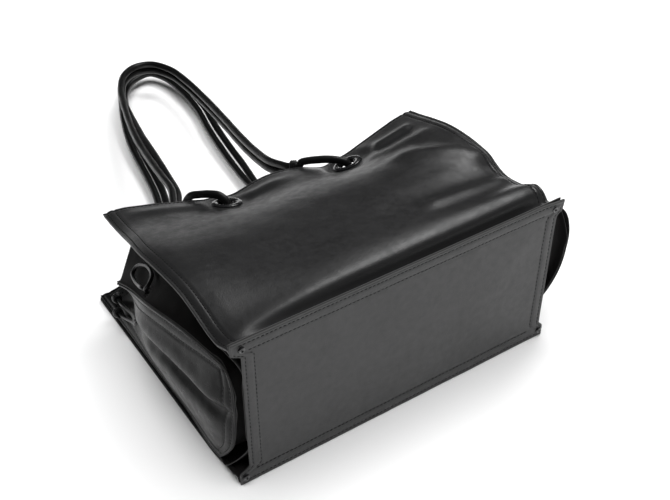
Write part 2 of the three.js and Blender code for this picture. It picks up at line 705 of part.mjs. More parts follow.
// Places where the panels and gussets have their rows, so that their seams lie flat together
const rows = [0.035, 0.08, 0.14, 0.25, 0.35, 0.45, 0.55, 0.64, 0.72, 0.8, 0.87, 0.94, 1];
const gussetSeam = 0.09;
const gussetHemSeam = 0.045;

function gridOf(point, acrossPlaces, alongPlaces) {
  return alongPlaces.map((along) => acrossPlaces.map((across) => point(across, along)));
}

// Bellows: a folded strip between the flanges of the bag and the flange of the gusset
function behind(grid, normals, row, column, depth) {
  return grid[row][column].clone().addScaledVector(normals[row][column], depth);
}

function bellowsSection(side, bagEdge, bagSeam, edge, seam) {
  const into = new THREE.Vector3(-side, 0, 0);
  const between = seam.clone().sub(bagSeam);
  const gap = between.length();
  const depth = Math.sqrt(Math.max(bellowsHalf ** 2 - (gap / 2) ** 2, seamAllowance ** 2));
  const toGusset = between.normalize();
  const valley = bagSeam.clone().lerp(seam, 0.5).addScaledVector(into, depth);
  const start = valley.clone().addScaledVector(into, -bellowsTip);
  start.addScaledVector(toGusset, -bellowsTip);
  const end = start.clone().addScaledVector(toGusset, 2 * bellowsTip);
  return [bagEdge, bagSeam, start, valley, end, seam, edge];
}

const group = new THREE.Group();

function add(name, geometry, colour, roughness, metalness) {
  const material = new THREE.MeshStandardMaterial({ color: colour, roughness, metalness });
  const mesh = new THREE.Mesh(geometry, material);
  mesh.name = name;
  group.add(mesh);
}

// Eyelets
const eyeletHalf = panelLeather / 2 + fit;
const barrelRadius = eyeletInner / 2 + eyeletBarrel;
const eyeletProfile = [
  [eyeletInner / 2, -eyeletHalf - 0.6 * eyeletRise],
  [barrelRadius + 2, -eyeletHalf - eyeletRise],
  [eyeletOuter / 2 - 1, -eyeletHalf],
  [barrelRadius, -eyeletHalf],
  [barrelRadius, eyeletHalf],
  [eyeletOuter / 2, eyeletHalf],
  [eyeletOuter / 2 - 1.6, eyeletHalf + eyeletRise],
  [eyeletInner / 2 + 1.2, eyeletHalf + eyeletRise],
  [eyeletInner / 2, eyeletHalf + 0.4 * eyeletRise],
  [eyeletInner / 2, -eyeletHalf - 0.6 * eyeletRise],
];

function eyelet(name, seat) {
  add(name, turned(eyeletProfile, 12, seat.middle, seat.axis), colours.fitting, 0.28, 0.6);
}

function eyeletTools(seat) {
  const reach = 8;
  const bore = [
    [0, -reach],
    [barrelRadius + fit, -reach],
    [barrelRadius + fit, reach],
    [0, reach],
  ];
  const above = [
    [0, panelLeather / 2],
    [eyeletOuter / 2 + fit, panelLeather / 2],
    [eyeletOuter / 2 + fit, reach],
    [0, reach],
  ];
  const below = [
    [0, -reach],
    [eyeletOuter / 2 + fit, -reach],
    [eyeletOuter / 2 + fit, -panelLeather / 2],
    [0, -panelLeather / 2],
  ];
  return [bore, above, below].map((profile) => turned(profile, 12, seat.middle, seat.axis));
}

function middleOf(seat) {
  const middle = seat.centre.clone().addScaledVector(seat.axis, -panelLeather / 2);
  return { ...seat, middle };
}

const frontEyelets = frontSeats.map(middleOf);
const backEyelets = [0.3, 0.705].map((across) => {
  const along = 1 - eyeletFromRim / (panelReach * backRimAlong.left);
  return middleOf({ centre: backPlain(across, along), axis: new THREE.Vector3(0, 0, -1) });
});

// Base panel
const baseGrid = gridOf(
  basePoint,
  [0, 0.03, 0.97, 1],
  [0, 0.068, 0.108, 0.892, 0.932, 1],
);
add("base_panel", sheet(baseGrid, 0, baseLeather, false), colours.base, 0.5, 0);

// Front panel
const frontAcross = [0, ...spread(seamAcross, 1 - seamAcross, 17), 1];
const flangeRows = [-1, -0.55, -0.3, -0.12, 0];
const frontGrid = gridOf(frontPoint, frontAcross, [...flangeRows, ...rows]);
const frontSheet = sheet(frontGrid, 0, panelLeather, false);
add("front_panel", cut(frontSheet, frontEyelets.flatMap(eyeletTools)), colours.panel, 0.42, 0);

// Back panel
const backAcross = [0, seamAcross, 0.15, 0.2, 0.25, 0.36, 0.5, 0.64, 0.75, 0.8, 0.85, 1 - seamAcross, 1];
const backGrid = gridOf(backPoint, backAcross, [...flangeRows, ...rows]);
const backSheet = sheet(backGrid, 0, panelLeather, true);
add("back_panel", cut(backSheet, backEyelets.flatMap(eyeletTools)), colours.panel, 0.46, 0);

// Gussets and bellows
const gussetAcross = [0, gussetSeam, 0.2, 0.35, 0.5, 0.62, 0.72, 0.82, 1 - gussetSeam, 1];
const gussetAlong = [0, gussetHemSeam, ...rows.slice(1)];
const ply = 2 * fit + bellowsLeather / 2;

function bellowsGrid(side, gussetGrid) {
  const frontNormals = gridNormals(frontGrid);
  const backNormals = gridNormals(backGrid);
  const gussetNormals = gridNormals(gussetGrid);
  const edgeColumn = (grid) => (side < 0 ? 0 : grid[0].length - 1);
  const seamColumn = (grid) => (side < 0 ? 1 : grid[0].length - 2);
  const bag = (grid, normals, row, sign) =>
    [edgeColumn, seamColumn].map((column) =>
      behind(grid, normals, row, column(grid), sign * (panelLeather + ply)),
    );
  const gusset = (row, column) =>
    behind(gussetGrid, gussetNormals, row, column, side * (gussetLeather + ply));
  const last = gussetAcross.length - 1;
  const sections = [];
  for (let i = rows.length - 1; i >= 0; i--) {
    const [edge, seam] = bag(frontGrid, frontNormals, flangeRows.length + i, -1);
    const gussetRow = i + 1;
    const end = i === 0 ? gusset(0, last) : gusset(gussetRow, last);
    sections.push(bellowsSection(side, edge, seam, end, gusset(gussetRow, last - 1)));
  }
  for (let k = last - 2; k >= 2; k--) {
    const high = mix(bellowsFoot, baseDepth - bellowsFoot, (k - 1) / (last - 2));
    const edge = new THREE.Vector3(baseEdge(side, high), panelStart + bellowsLeather / 2, high);
    const seam = edge.clone().setX(edge.x - side * seamAllowance);
    sections.push(bellowsSection(side, edge, seam, gusset(0, k), gusset(1, k)));
  }
  for (let i = 0; i < rows.length; i++) {
    const [edge, seam] = bag(backGrid, backNormals, flangeRows.length + i, 1);
    const end = i === 0 ? gusset(0, 0) : gusset(i + 1, 0);
    sections.push(bellowsSection(side, edge, seam, end, gusset(i + 1, 1)));
  }
  return sections;
}

// A place on the outer face of a gusset, or on the inner ply of its bellows, with the way off it
function gussetSpot(side, across, along) {
  const step = 0.01;
  const aside = gussetPoint(side, across + step, along).sub(gussetPoint(side, across - step, along));
  const ahead = gussetPoint(side, across, along + step).sub(gussetPoint(side, across, along - step));
  const off = aside.cross(ahead).multiplyScalar(-side).normalize();
  return { place: gussetPoint(side, across, along), off };
}

function plySpot(side, share, along) {
  const spot = (at) => {
    const bag = frontPoint(side < 0 ? seamAcross : 1 - seamAcross, at);
    bag.z -= panelLeather + ply;
    const seam = gussetSpot(side, 1 - gussetSeam, at);
    seam.place.addScaledVector(seam.off, -gussetLeather - ply);
    const section = bellowsSection(side, bag, bag, seam.place, seam.place);
    return { seam: section[5], end: section[4] };
  };
  const { seam, end } = spot(along);
  const next = spot(along + 0.01);
  const off = end.clone().sub(seam).cross(next.seam.sub(seam)).multiplyScalar(-side).normalize();
  return { place: seam.lerp(end, share), off };
}

function tiePoints(side, table) {
  return table.map(({ on, across, along, out }) => {
    const { place, off } = (on === "ply" ? plySpot : gussetSpot)(side, across, along);
    return place.addScaledVector(off, out);
  });
}

function holeTool(spot, reach) {
  const profile = [
    [0, -reach],
    [tieHole / 2, -reach],
    [tieHole / 2, reach],
    [0, reach],
  ];
  return turned(profile, 12, spot.place, spot.off);
}

for (const side of [-1, 1]) {
  const name = side < 0 ? "left" : "right";
  const grid = gridOf((u, v) => gussetPoint(side, u, v), gussetAcross, gussetAlong);
  const outerHole = holeTool(gussetSpot(side, tieHoles.gussetAcross, tieHoles.gussetAlong), 4);
  const innerHole = holeTool(plySpot(side, tieHoles.plyShare, tieHoles.plyAlong), 4);
  const geometry = cut(sheet(grid, 0, gussetLeather, side > 0), [outerHole]);
  add("gusset_" + name, geometry, colours.gusset, 0.45, 0);
  const strip = bellowsGrid(side, grid);
  const folded = sheet(strip, bellowsLeather / 2, bellowsLeather / 2, side < 0);
  add("bellows_" + name, cut(folded, [innerHole]), colours.bellows, 0.6, 0);
}

// Eyelets in both panels
eyelet("eyelet_front_left", frontEyelets[0]);
eyelet("eyelet_front_right", frontEyelets[1]);
eyelet("eyelet_back_left", backEyelets[0]);
eyelet("eyelet_back_right", backEyelets[1]);

// Handles: each is one closed loop of cord that runs twice along its line and through both eyelets
function lineOf(lineRows) {
  const rimY = panelReach * frontRimAlong.left;
  return lineRows.map((row) => ({
    place: new THREE.Vector3(row.side * half, rimY + row.beyond * handleReach, row.high * baseDepth),
    turn: THREE.MathUtils.degToRad(row.turn),
    apart: row.apart,
  }));
}

// The direction in which the two strands lie beside each other, rolled by `turn`
function pairAcross(ahead, turn) {
  const aside = new THREE.Vector3(-ahead.y, ahead.x, 0).normalize();
  const upright = ahead.clone().cross(aside);
  if (upright.z < 0) upright.negate();
  return aside.multiplyScalar(Math.cos(turn)).addScaledVector(upright, Math.sin(turn));
}

// Where a collar holds the strands, and the way they run through it
function collarOf(line, seat, first) {
  const end = first ? line[0] : line[line.length - 1];
  const beyond = first ? line[1] : line[line.length - 2];
  const ahead = beyond.place.clone().sub(seat.middle).normalize();
  if (!first) ahead.negate();
  return { place: end.place, ahead, across: pairAcross(ahead, end.turn) };
}

function strand(line, collars, sign) {
  const held = ({ place, ahead, across }) =>
    [-collarLength, 0, collarLength].map((step) =>
      place.clone().addScaledVector(ahead, step).addScaledVector(across, sign * strandOffset),
    );
  const free = line.slice(1, -1).map(({ place, turn, apart }, i) => {
    const ahead = line[i + 2].place.clone().sub(line[i].place).normalize();
    return place.clone().addScaledVector(pairAcross(ahead, turn), sign * strandOffset * apart);
  });
  return [...held(collars[0]), ...free, ...held(collars[1])];
}

// Route of the cord through one eyelet: over the outer face, down the hole and back inside
function throughEyelet(seat, toward, arch) {
  const toRim = toward.clone().sub(seat.middle);
  toRim.addScaledVector(seat.axis, -toRim.dot(seat.axis)).normalize();
  return arch.map(({ forward, out }) =>
    seat.middle.clone().addScaledVector(toRim, forward).addScaledVector(seat.axis, out),
  );
}

function handle(name, lineRows, seats, arches) {
  const line = lineOf(lineRows);
  const collars = seats.map((seat, i) => collarOf(line, seat, i === 0));
  const outer = strand(line, collars, 1);
  const inner = strand(line, collars, -1);
  const [left, right] = seats.map((seat, i) => throughEyelet(seat, collars[i].place, arches[i]));
  const route = [...outer, ...right, ...inner.reverse(), ...left.reverse()];
  add("handle_" + name, cord(route, cordRadius, handleStep, 8, true), colours.cord, 0.5, 0);
  collars.forEach((held, i) => {
    add("collar_" + name + (i === 0 ? "_left" : "_right"), collar(held), colours.cord, 0.4, 0);
  });
}

// A band wrapped round both strands of a handle
function collar({ place, ahead, across }) {
  const outline = (kind, radius) => {
    const shape = new kind();
    shape.absarc(strandOffset, 0, radius, -Math.PI / 2, Math.PI / 2, false);
    shape.absarc(-strandOffset, 0, radius, Math.PI / 2, 1.5 * Math.PI, false);
    return shape;
  };
  const inside = cordRadius + 2 * fit;
  const band = outline(THREE.Shape, inside + collarWrap);
  band.holes.push(outline(THREE.Path, inside));
  const geometry = new THREE.ExtrudeGeometry(band, {
    depth: collarLength,
    bevelEnabled: false,
    curveSegments: 5,
  });
  geometry.translate(0, 0, -collarLength / 2);
  geometry.applyMatrix4(new THREE.Matrix4().makeBasis(across, ahead.clone().cross(across), ahead));
  return geometry.translate(place.x, place.y, place.z);
}

handle("front", frontHandleLine, frontEyelets, [frontLeftArch, frontRightArch]);
handle("back", backHandleLine, backEyelets, [backArch, backArch]);

// Side ties: a thin cord with a knot at each end, the same line on both sides
const knotProfile = [
  [0, -0.5],
  [0.55, -0.42],
  [1, -0.16],
  [1, 0.16],
  [0.55, 0.42],
  [0, 0.5],
].map(([r, h]) => [(r * knotWidth) / 2, h * knotLength]);

for (const side of [-1, 1]) {
  const points = tiePoints(side, tieLine);
  const knot = (place, next) => turned(knotProfile, 8, place, next.clone().sub(place).normalize());
  const last = points.length - 1;
  const cordSolid = toSolid(cord(points, tieRadius, tieStep, 8, false));
  const knots = [knot(points[0], points[1]), knot(points[last], points[last - 1])];
  const tie = knots.reduce((solid, geometry) => solid.add(toSolid(geometry)), cordSolid);
  add("tie_" + (side < 0 ? "left" : "right"), fromSolid(tie), colours.cord, 0.5, 0);
}

// Rivets on the corner tabs of the base
const rivetProfile = [
  [0, 0],
  [rivetWidth / 2, 0],
  [0.46 * rivetWidth, 0.5 * rivetRise],
  [0.28 * rivetWidth, 0.92 * rivetRise],
  [0, rivetRise],
];
for (const side of [-1, 1])
  for (const level of ["lower", "upper"]) {
    const high = level === "lower" ? rivetFromEdge : baseDepth - rivetFromEdge;
    const place = new THREE.Vector3(side * (half - rivetFromEdge), -fit, high);
    const rivet = turned(rivetProfile, 8, place, new THREE.Vector3(0, -1, 0));
    add("rivet_" + level + (side < 0 ? "_left" : "_right"), rivet, colours.fitting, 0.35, 0.7);
  }

group.position.y = -restCentre;
export default group;
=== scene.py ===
"""Dresses the leather tote bag: leather panels with stitched flanges, folded bellows, rolled cord
handles through eyelets, knotted side ties, and the studio that it lies in."""

import math

import bpy
import numpy as np
from mathutils import Matrix, Vector, noise


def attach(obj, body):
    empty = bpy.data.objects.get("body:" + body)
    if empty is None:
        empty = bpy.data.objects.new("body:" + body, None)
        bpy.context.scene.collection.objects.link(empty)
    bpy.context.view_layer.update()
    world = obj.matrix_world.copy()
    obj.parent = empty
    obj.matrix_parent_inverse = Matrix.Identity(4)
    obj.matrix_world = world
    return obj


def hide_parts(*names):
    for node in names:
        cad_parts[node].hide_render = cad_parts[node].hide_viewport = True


bl_info = {
    "name": "Leather tote bag",
    "version": (1, 0, 0),
    "blender": (4, 5, 0),
    "location": "3D View > Sidebar > Tote",
    "description": "Leather panels, bellows, cord handles, eyelets, ties and stitches of a tote bag",
    "category": "Object",
}

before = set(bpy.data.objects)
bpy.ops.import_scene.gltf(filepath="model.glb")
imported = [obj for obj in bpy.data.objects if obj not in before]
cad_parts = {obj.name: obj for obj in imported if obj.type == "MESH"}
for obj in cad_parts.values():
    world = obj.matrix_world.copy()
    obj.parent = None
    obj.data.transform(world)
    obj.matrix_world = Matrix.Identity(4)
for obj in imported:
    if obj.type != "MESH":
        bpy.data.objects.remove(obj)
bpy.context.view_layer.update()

# Sizes of the bag in millimetres. X runs along the width, Y from the base to the rim, Z up
BASE_WIDTH, BASE_DEPTH, PANEL_REACH, REST_CENTRE = 330.0, 148.0, 274.0, 128.0
PANEL_LEATHER, BASE_LEATHER, GUSSET_LEATHER, BELLOWS_LEATHER = 2.0, 2.5, 1.6, 1.2
SEAM_ALLOWANCE, FIT, FLANGE_LIP, SEAM_RUN, FLANGE_DROOP = 10.0, 0.3, 0.8, 5.0, 3.0
TAB_INSET_LEFT, TAB_INSET_RIGHT, TAB_RUN, BASE_TAPER = 9.5, 5.0, 6.0, 2.5
GUSSET_FULLNESS, BELLOWS_HALF, BELLOWS_TIP, BELLOWS_FOOT, FOLD_HEIGHT = 10.0, 36.0, 1.7, 14.0, 4.0
HANDLE_CORD, TIE_CORD, EYELET_OUTER, EYELET_INNER, EYELET_BARREL = 7.5, 3.4, 29.0, 17.0, 1.4
EYELET_RISE, EYELET_FROM_RIM, COLLAR_LENGTH, HANDLE_REACH = 1.7, 26.5, 6.0, 350.0
RIVET_WIDTH, RIVET_RISE, RIVET_FROM_EDGE, KNOT_WIDTH, KNOT_LENGTH = 6.0, 1.6, 7.0, 10.0, 8.5
HALF = BASE_WIDTH / 2
CORD_RADIUS = HANDLE_CORD / 2
STRAND_OFFSET = (HANDLE_CORD + FIT) / 2
PANEL_START = BASE_LEATHER + FIT
PLY = 2 * FIT + BELLOWS_LEATHER / 2
SEAM_ACROSS = SEAM_ALLOWANCE / BASE_WIDTH
GUSSET_SEAM, GUSSET_HEM_SEAM = 0.09, 0.045
# Stitch lines, from the edge of the leather
OUTER_STITCH, INNER_STITCH, BASE_STITCH, RIM_STITCH = 3.0, 10.0, 11.0, 3.2
SIDE_STITCHES = (OUTER_STITCH, INNER_STITCH)
STITCH_END_GAP = 3.0
STITCH_SIDES = 6
# Radius that is cut out of the leather under an eyelet
EYELET_CUT = 10.6
MILLIMETRES = 1000
SIDES = ((-1, "left"), (1, "right"))
# Ripples of a gusset as a share of those of the front
GUSSET_RIPPLE = 0.8

# Front panel: heights from the base seam to the rim, in shares of the base depth
FRONT_HEIGHTS = np.array([
    # at, left, left middle, middle, right middle, right
    [0.0, 0.932, 0.932, 0.932, 0.932, 0.934],
    [0.035, 0.916, 0.928, 0.918, 0.914, 0.928],
    [0.08, 0.9, 0.951, 0.957, 0.958, 0.972],
    [0.13, 0.905, 0.954, 0.967, 0.971, 0.976],
    [0.2, 0.935, 0.951, 0.96, 0.953, 0.915],
    [0.3, 0.959, 0.939, 0.934, 0.931, 0.891],
    [0.42, 0.959, 0.916, 0.905, 0.925, 0.932],
    [0.55, 0.929, 0.873, 0.865, 0.895, 0.958],
    [0.68, 0.868, 0.798, 0.798, 0.814, 0.94],
    [0.82, 0.786, 0.69, 0.7, 0.685, 0.882],
    [0.92, 0.746, 0.632, 0.648, 0.615, 0.832],
    [1.0, 0.723, 0.595, 0.611, 0.56, 0.797],
])
FRONT_RIM = np.array([
    # at, high
    [0.0, 0.723], [0.14, 0.662], [0.25, 0.603], [0.38, 0.549], [0.5, 0.606],
    [0.6, 0.597], [0.7, 0.541], [0.82, 0.632], [1.0, 0.797],
])
FRONT_EDGES = np.array([
    # at, left, right
    [0.0, -1.0, 1.0], [0.09, -0.99, 1.03], [0.2, -0.982, 1.04], [0.31, -0.97, 1.05],
    [0.44, -0.964, 1.072], [0.6, -0.945, 1.082], [0.78, -0.885, 1.11], [1.0, -0.83, 1.145],
])
FRONT_RIM_ALONG = (0.956, 0.85)
BACK_RIM_ALONG = (1.0, 0.956)
BACK_RIM_SIDE = (-0.873, 1.079)
# Eyelets of the front panel: place across, and lean towards the rim in degrees
FRONT_EYELETS = ((0.341, 4.0), (0.737, -2.0))
BACK_EYELETS = (0.3, 0.705)
FRONT_FOLDS = np.array([
    # from across, from along, to across, to along, rise, wide
    [0.08, 0.93, 0.52, 0.9, 0.5, 0.03],
    [0.82, 0.88, 0.93, 0.86, 0.9, 0.028],
    [0.76, 0.8, 0.93, 0.72, 0.6, 0.04],
    [0.8, 0.66, 0.97, 0.4, 0.9, 0.045],
    [0.7, 0.25, 0.98, 0.26, 0.7, 0.035],
])
BACK_HEIGHTS = np.array([
    # at, at base, at rim
    [0.0, 0.05, 0], [0.05, 0.036, 0], [0.1, 0.013, 0], [0.16, 0, 0], [0.24, 0, 0], [0.64, 0, 0],
    [0.72, 0, 0], [0.78, 0, 0.02], [0.83, 0, 0.052], [0.88, 0, 0.074], [1.0, 0, 0.074],
])
BACK_LIFT = np.array([
    [0.0, 0], [0.15, 0], [0.2, 0.45], [0.25, 1], [0.5, 0.95], [0.75, 1], [0.8, 0.45], [0.85, 0],
    [1.0, 0],
])

# Gussets: at, floor along, floor out, ridge along, ridge out, ridge height
LEFT_GUSSET = np.array([
    [0.0, 0.113, 0.994, 0.088, 0.99, 0.764], [0.12, 0.2, 0.979, 0.182, 0.988, 0.743],
    [0.3, 0.347, 0.948, 0.321, 0.982, 0.703], [0.45, 0.474, 0.933, 0.445, 0.976, 0.642],
    [0.6, 0.602, 0.918, 0.555, 0.961, 0.574], [0.8, 0.81, 0.894, 0.71, 0.905, 0.43],
    [1.0, 1.0, 0.873, 0.861, 0.867, 0.29],
])
RIGHT_GUSSET = np.array([
    [0.0, 0.113, 0.998, 0.07, 1.165, 0.79], [0.12, 0.2, 1.005, 0.16, 1.145, 0.768],
    [0.3, 0.34, 1.018, 0.3, 1.115, 0.716], [0.45, 0.46, 1.03, 0.42, 1.095, 0.662],
    [0.6, 0.58, 1.043, 0.53, 1.08, 0.595], [0.8, 0.77, 1.061, 0.7, 1.06, 0.46],
    [1.0, 0.945, 1.079, 0.86, 1.04, 0.34],
])
# Fullness of the gusset faces: at, then from the floor edge to the ridge
LEFT_FULLNESS = np.array([
    [0.0, 0, 0, 0, 0, 0, 0], [0.05, 0.1, 0.35, 0.5, 0.15, 0.6, 0.3],
    [0.12, 0.2, 0.6, 0.8, 0.2, 0.95, 0.45], [0.3, 0.2, 0.7, 0.95, 0.3, 1.0, 0.5],
    [0.5, 0.1, 0.5, 0.8, 0.4, 0.9, 0.45], [0.65, 0.0, 0.1, 0.1, 0.1, 0.5, 0.3],
    [0.8, -0.2, -0.8, -1.1, -0.9, -0.6, -0.2], [1.0, -0.5, -1.9, -3.1, -2.9, -2.2, -0.9],
])
RIGHT_FULLNESS = np.array([
    [0.0, 0, 0, 0.3, 0.3, 0.2, 0.1], [0.12, 0.1, 0.35, 0.7, 0.6, 0.6, 0.3],
    [0.3, 0.2, 0.6, 0.9, 0.5, 0.8, 0.45], [0.5, 0.1, 0.4, 0.6, 0.3, 0.6, 0.3],
    [0.7, 0.0, -0.2, -0.4, -0.4, -0.2, 0.0], [1.0, -0.4, -1.5, -2.5, -2.3, -1.7, -0.7],
])
FULLNESS_PLACES = np.array([0, 0.12, 0.3, 0.5, 0.62, 0.72, 0.86, 1])
GUSSET_HEM = np.array([
    [0.0, 3.1], [0.06, 2.5], [0.21, 1.3], [0.3, 0.88], [0.42, 0.62], [0.56, 0.5], [0.68, 0.48],
    [0.82, 0.58], [0.92, 0.98], [0.98, 1.55], [1.0, 2.3],
])
GROOVE = np.array([[0.0, 0, 0], [0.3, 0.6, 0.02], [0.55, 0.95, 0.16], [1.0, 1, 1]])

# Handles: side, beyond the rim, height, roll of the pair of strands in degrees, and how far the
# strands lie apart in shares of the cord
FRONT_HANDLE = np.array([
    [-0.347, 0.005, 0.507, 60, 1], [-0.283, 0.094, 0.5, 45, 1], [-0.234, 0.182, 0.473, 30, 1],
    [-0.189, 0.27, 0.446, 15, 1], [-0.129, 0.38, 0.405, 8, 1], [-0.074, 0.477, 0.372, 18, 1],
    [0.02, 0.612, 0.318, 42, 1], [0.108, 0.729, 0.277, 66, 1], [0.191, 0.825, 0.25, 82, 1],
    [0.313, 0.911, 0.23, 88, 1], [0.449, 0.951, 0.216, 90, 1], [0.559, 0.935, 0.216, 90, 1],
    [0.619, 0.864, 0.226, 90, 1], [0.616, 0.752, 0.243, 90, 1], [0.57, 0.597, 0.277, 90, 1],
    [0.497, 0.433, 0.331, 90, 1], [0.416, 0.276, 0.392, 88, 1], [0.36, 0.154, 0.446, 86, 1],
    [0.325, 0.056, 0.503, 84, 1], [0.336, 0.005, 0.534, 82, 1], [0.376, -0.03, 0.552, 80, 1],
])
BACK_HANDLE = np.array([
    [-0.3, 0.1, 0.078, -84, 1], [-0.255, 0.17, 0.064, -40, 1.05], [-0.107, 0.342, 0.071, -10, 1.05],
    [-0.052, 0.435, 0.071, -4, 1.05], [-0.014, 0.51, 0.071, 0, 1.05],
    [0.029, 0.594, 0.071, 5, 1.05], [0.079, 0.675, 0.074, 15, 1], [0.157, 0.773, 0.078, 35, 1],
    [0.236, 0.859, 0.081, 55, 1], [0.31, 0.927, 0.084, 66, 1], [0.407, 0.982, 0.088, 50, 1],
    [0.515, 1.006, 0.088, 28, 1], [0.615, 1.003, 0.088, 14, 1], [0.685, 0.939, 0.086, 12, 1],
    [0.69, 0.837, 0.082, 12, 1], [0.657, 0.708, 0.078, 12, 1.08], [0.58, 0.569, 0.074, 5, 1.2],
    [0.523, 0.446, 0.071, 3, 1.25], [0.482, 0.344, 0.068, 0, 1.3], [0.445, 0.244, 0.064, -20, 1.2],
    [0.43, 0.17, 0.066, -50, 1.05], [0.44, 0.1, 0.078, -84, 1],
])
# Side of a handle's cord that its seam starts on
HANDLE_SEAM_SIDE = np.array([0.3, -0.6, 0.7])
# Route of a handle through an eyelet: forward to the rim, out from the leather
FRONT_LEFT_ARCH = np.array([
    [41.3, 1.2], [36.6, 6], [28, 7.8], [17, 8.8], [7, 7.8], [0.3, 2.5], [0, -4], [8, -10.2],
    [22, -11.5],
])
FRONT_RIGHT_ARCH = np.array([
    [42.3, 17.3], [34, 16.7], [26, 14.8], [17, 12.2], [7.5, 8], [0.3, 2.5], [0, -4], [7, -9.5],
    [20, -8], [37.5, 2.25],
])
BACK_ARCH = np.array([
    [30, 7.6], [17, 7.6], [9, 7.5], [2, 5], [-0.5, -1], [1.5, -7.5], [10, -10.5], [26, -9],
])
# Side tie: on the gusset (0) or the inner ply of the bellows (1), across, along, out
TIE_LINE = np.array([
    [0, 0.2, 0.91, 5.8], [0, 0.23, 0.855, 4.8], [0, 0.36, 0.775, 4.2], [0, 0.52, 0.71, 4.4],
    [0, 0.61, 0.673, 4], [0, 0.622, 0.667, -0.8], [0, 0.63, 0.667, -8], [1, 0.34, 0.678, -5],
    [1, 0.34, 0.678, 0.5], [1, 0.33, 0.69, 5], [1, 0.29, 0.75, 4.6], [1, 0.28, 0.82, 4.2],
    [1, 0.38, 0.87, 4.2], [1, 0.56, 0.865, 4.2], [1, 0.71, 0.81, 4], [1, 0.76, 0.74, 3.8],
    [1, 0.68, 0.675, 4], [1, 0.5, 0.65, 5], [1, 0.36, 0.658, 4.6], [1, 0.34, 0.662, 0.5],
    [1, 0.34, 0.662, -5], [0, 0.63, 0.653, -8], [0, 0.622, 0.653, -0.8], [0, 0.6, 0.657, 4],
    [0, 0.48, 0.685, 4.4], [0, 0.35, 0.73, 4], [0, 0.2, 0.79, 4.8], [0, 0.14, 0.84, 5.8],
])
TIE_HOLE = 10.0
TIE_HOLES = ((0.62, 0.66), (0.34, 0.67))
# The front leather tucks in just above the base: depth, place and width along the panel
TUCK_DEPTH, TUCK_AT, TUCK_WIDE = 5, 0.028, 0.024
# Round a front eyelet: where the leather is calm, where it creases, and how much
CALM_REACH, CALM_RUN, CREASE_REACH, CREASE_WIDE, CREASE_RISE, CREASES = 13, 12, 24, 11, 0.5, 5
# The middle of the base lies lower than its border and swells a little, and one corner is bent out
BASE_STEP, BASE_STEP_AT, BASE_STEP_RUN, BASE_SWELL, BASE_LUMPS = 0.55, 11.2, 1.6, 0.9, 0.35
CORNER_BEND, CORNER_REACH = 2.2, 12
# Sides of a gusset that the spacing of its grid goes by
GUSSET_WIDE, GUSSET_LONG = 112.0, 255.0
# Unevenness of a handle's cord, and turns of the knot of a tie
CORD_UNEVEN, KNOT_TURNS = 0.012, 2.6
# Places of the sections of the bellows, in shares of the panels and the gusset
ROWS = np.array([0.035, 0.08, 0.14, 0.25, 0.35, 0.45, 0.55, 0.64, 0.72, 0.8, 0.87, 0.94, 1])
FLANGE_ROWS = np.array([-1, -0.55, -0.3, -0.12, 0])
BACK_ACROSS = [0, SEAM_ACROSS, 0.15, 0.2, 0.25, 0.36, 0.5, 0.64, 0.75, 0.8, 0.85, 1 - SEAM_ACROSS, 1]
GUSSET_ACROSS = np.array([0, GUSSET_SEAM, 0.2, 0.35, 0.5, 0.62, 0.72, 0.82, 1 - GUSSET_SEAM, 1])


# Stage in metres: camera place, its turn, tilt and roll in radians, and each soft light's place,
# target and width. The floor is in millimetres
CAMERA_PLACE, CAMERA_TURN = (-0.53263, -0.74820, 0.77123), (0.63714, 0.64022, 0.0158)
SOFT_LIGHTS = {
    "key_light": ((0.78, 0.42, 1.38), (0, 0, 0.05), 0.6),
    "fill_light": ((1.2, -1.3, 0.5), (0.1, -0.13, 0.07), 0.9),
}
OVERHEAD_SPREAD = math.radians(70)
FLOOR_HALF = 8000.0


# Lines and numbers
def ease(share):
    s = np.clip(share, 0, 1)
    return s * s * (3 - 2 * s)


def mix(a, b, share):
    return a + (b - a) * share


def through(at, values, place):
    """A smooth line through values at the places `at`; values may hold one row for each place."""
    at = np.asarray(at, float)
    values = np.asarray(values, float)
    place = np.asarray(place, float)
    last = len(at) - 1
    i = np.clip(np.searchsorted(at, place, side="left") - 1, 0, last - 1)
    before, to, after = np.maximum(i - 1, 0), i + 1, np.minimum(i + 2, last)

    def pick(k):
        if values.ndim == 1:
            return values[k]
        shape = np.broadcast_shapes(k.shape, values.shape[:-1])
        full = np.broadcast_to(values, shape + (last + 1,))
        return np.take_along_axis(full, np.broadcast_to(k, shape)[..., None], -1)[..., 0]

    span = at[to] - at[i]
    s = np.clip((place - at[i]) / span, 0, 1)
    leave = (pick(to) - pick(before)) / (at[to] - at[before]) * span
    arrive = (pick(after) - pick(i)) / (at[after] - at[i]) * span
    s2, s3 = s * s, s * s * s
    start = (2 * s3 - 3 * s2 + 1) * pick(i) + (s3 - 2 * s2 + s) * leave
    return start + (3 * s2 - 2 * s3) * pick(to) + (s3 - s2) * arrive


def read(table, column, place):
    """A column of a table, smoothly through its rows, at places along its first column."""
    return through(table[:, 0], table[:, column], place)


def unit(v):
    return v / np.maximum(np.linalg.norm(v, axis=-1, keepdims=True), 1e-9)


def grid_normals(grid):
    """Face directions of a grid of points (rows along, columns across)."""
    along = np.gradient(grid, axis=0)
    across = np.gradient(grid, axis=1)
    return unit(np.cross(across, along))


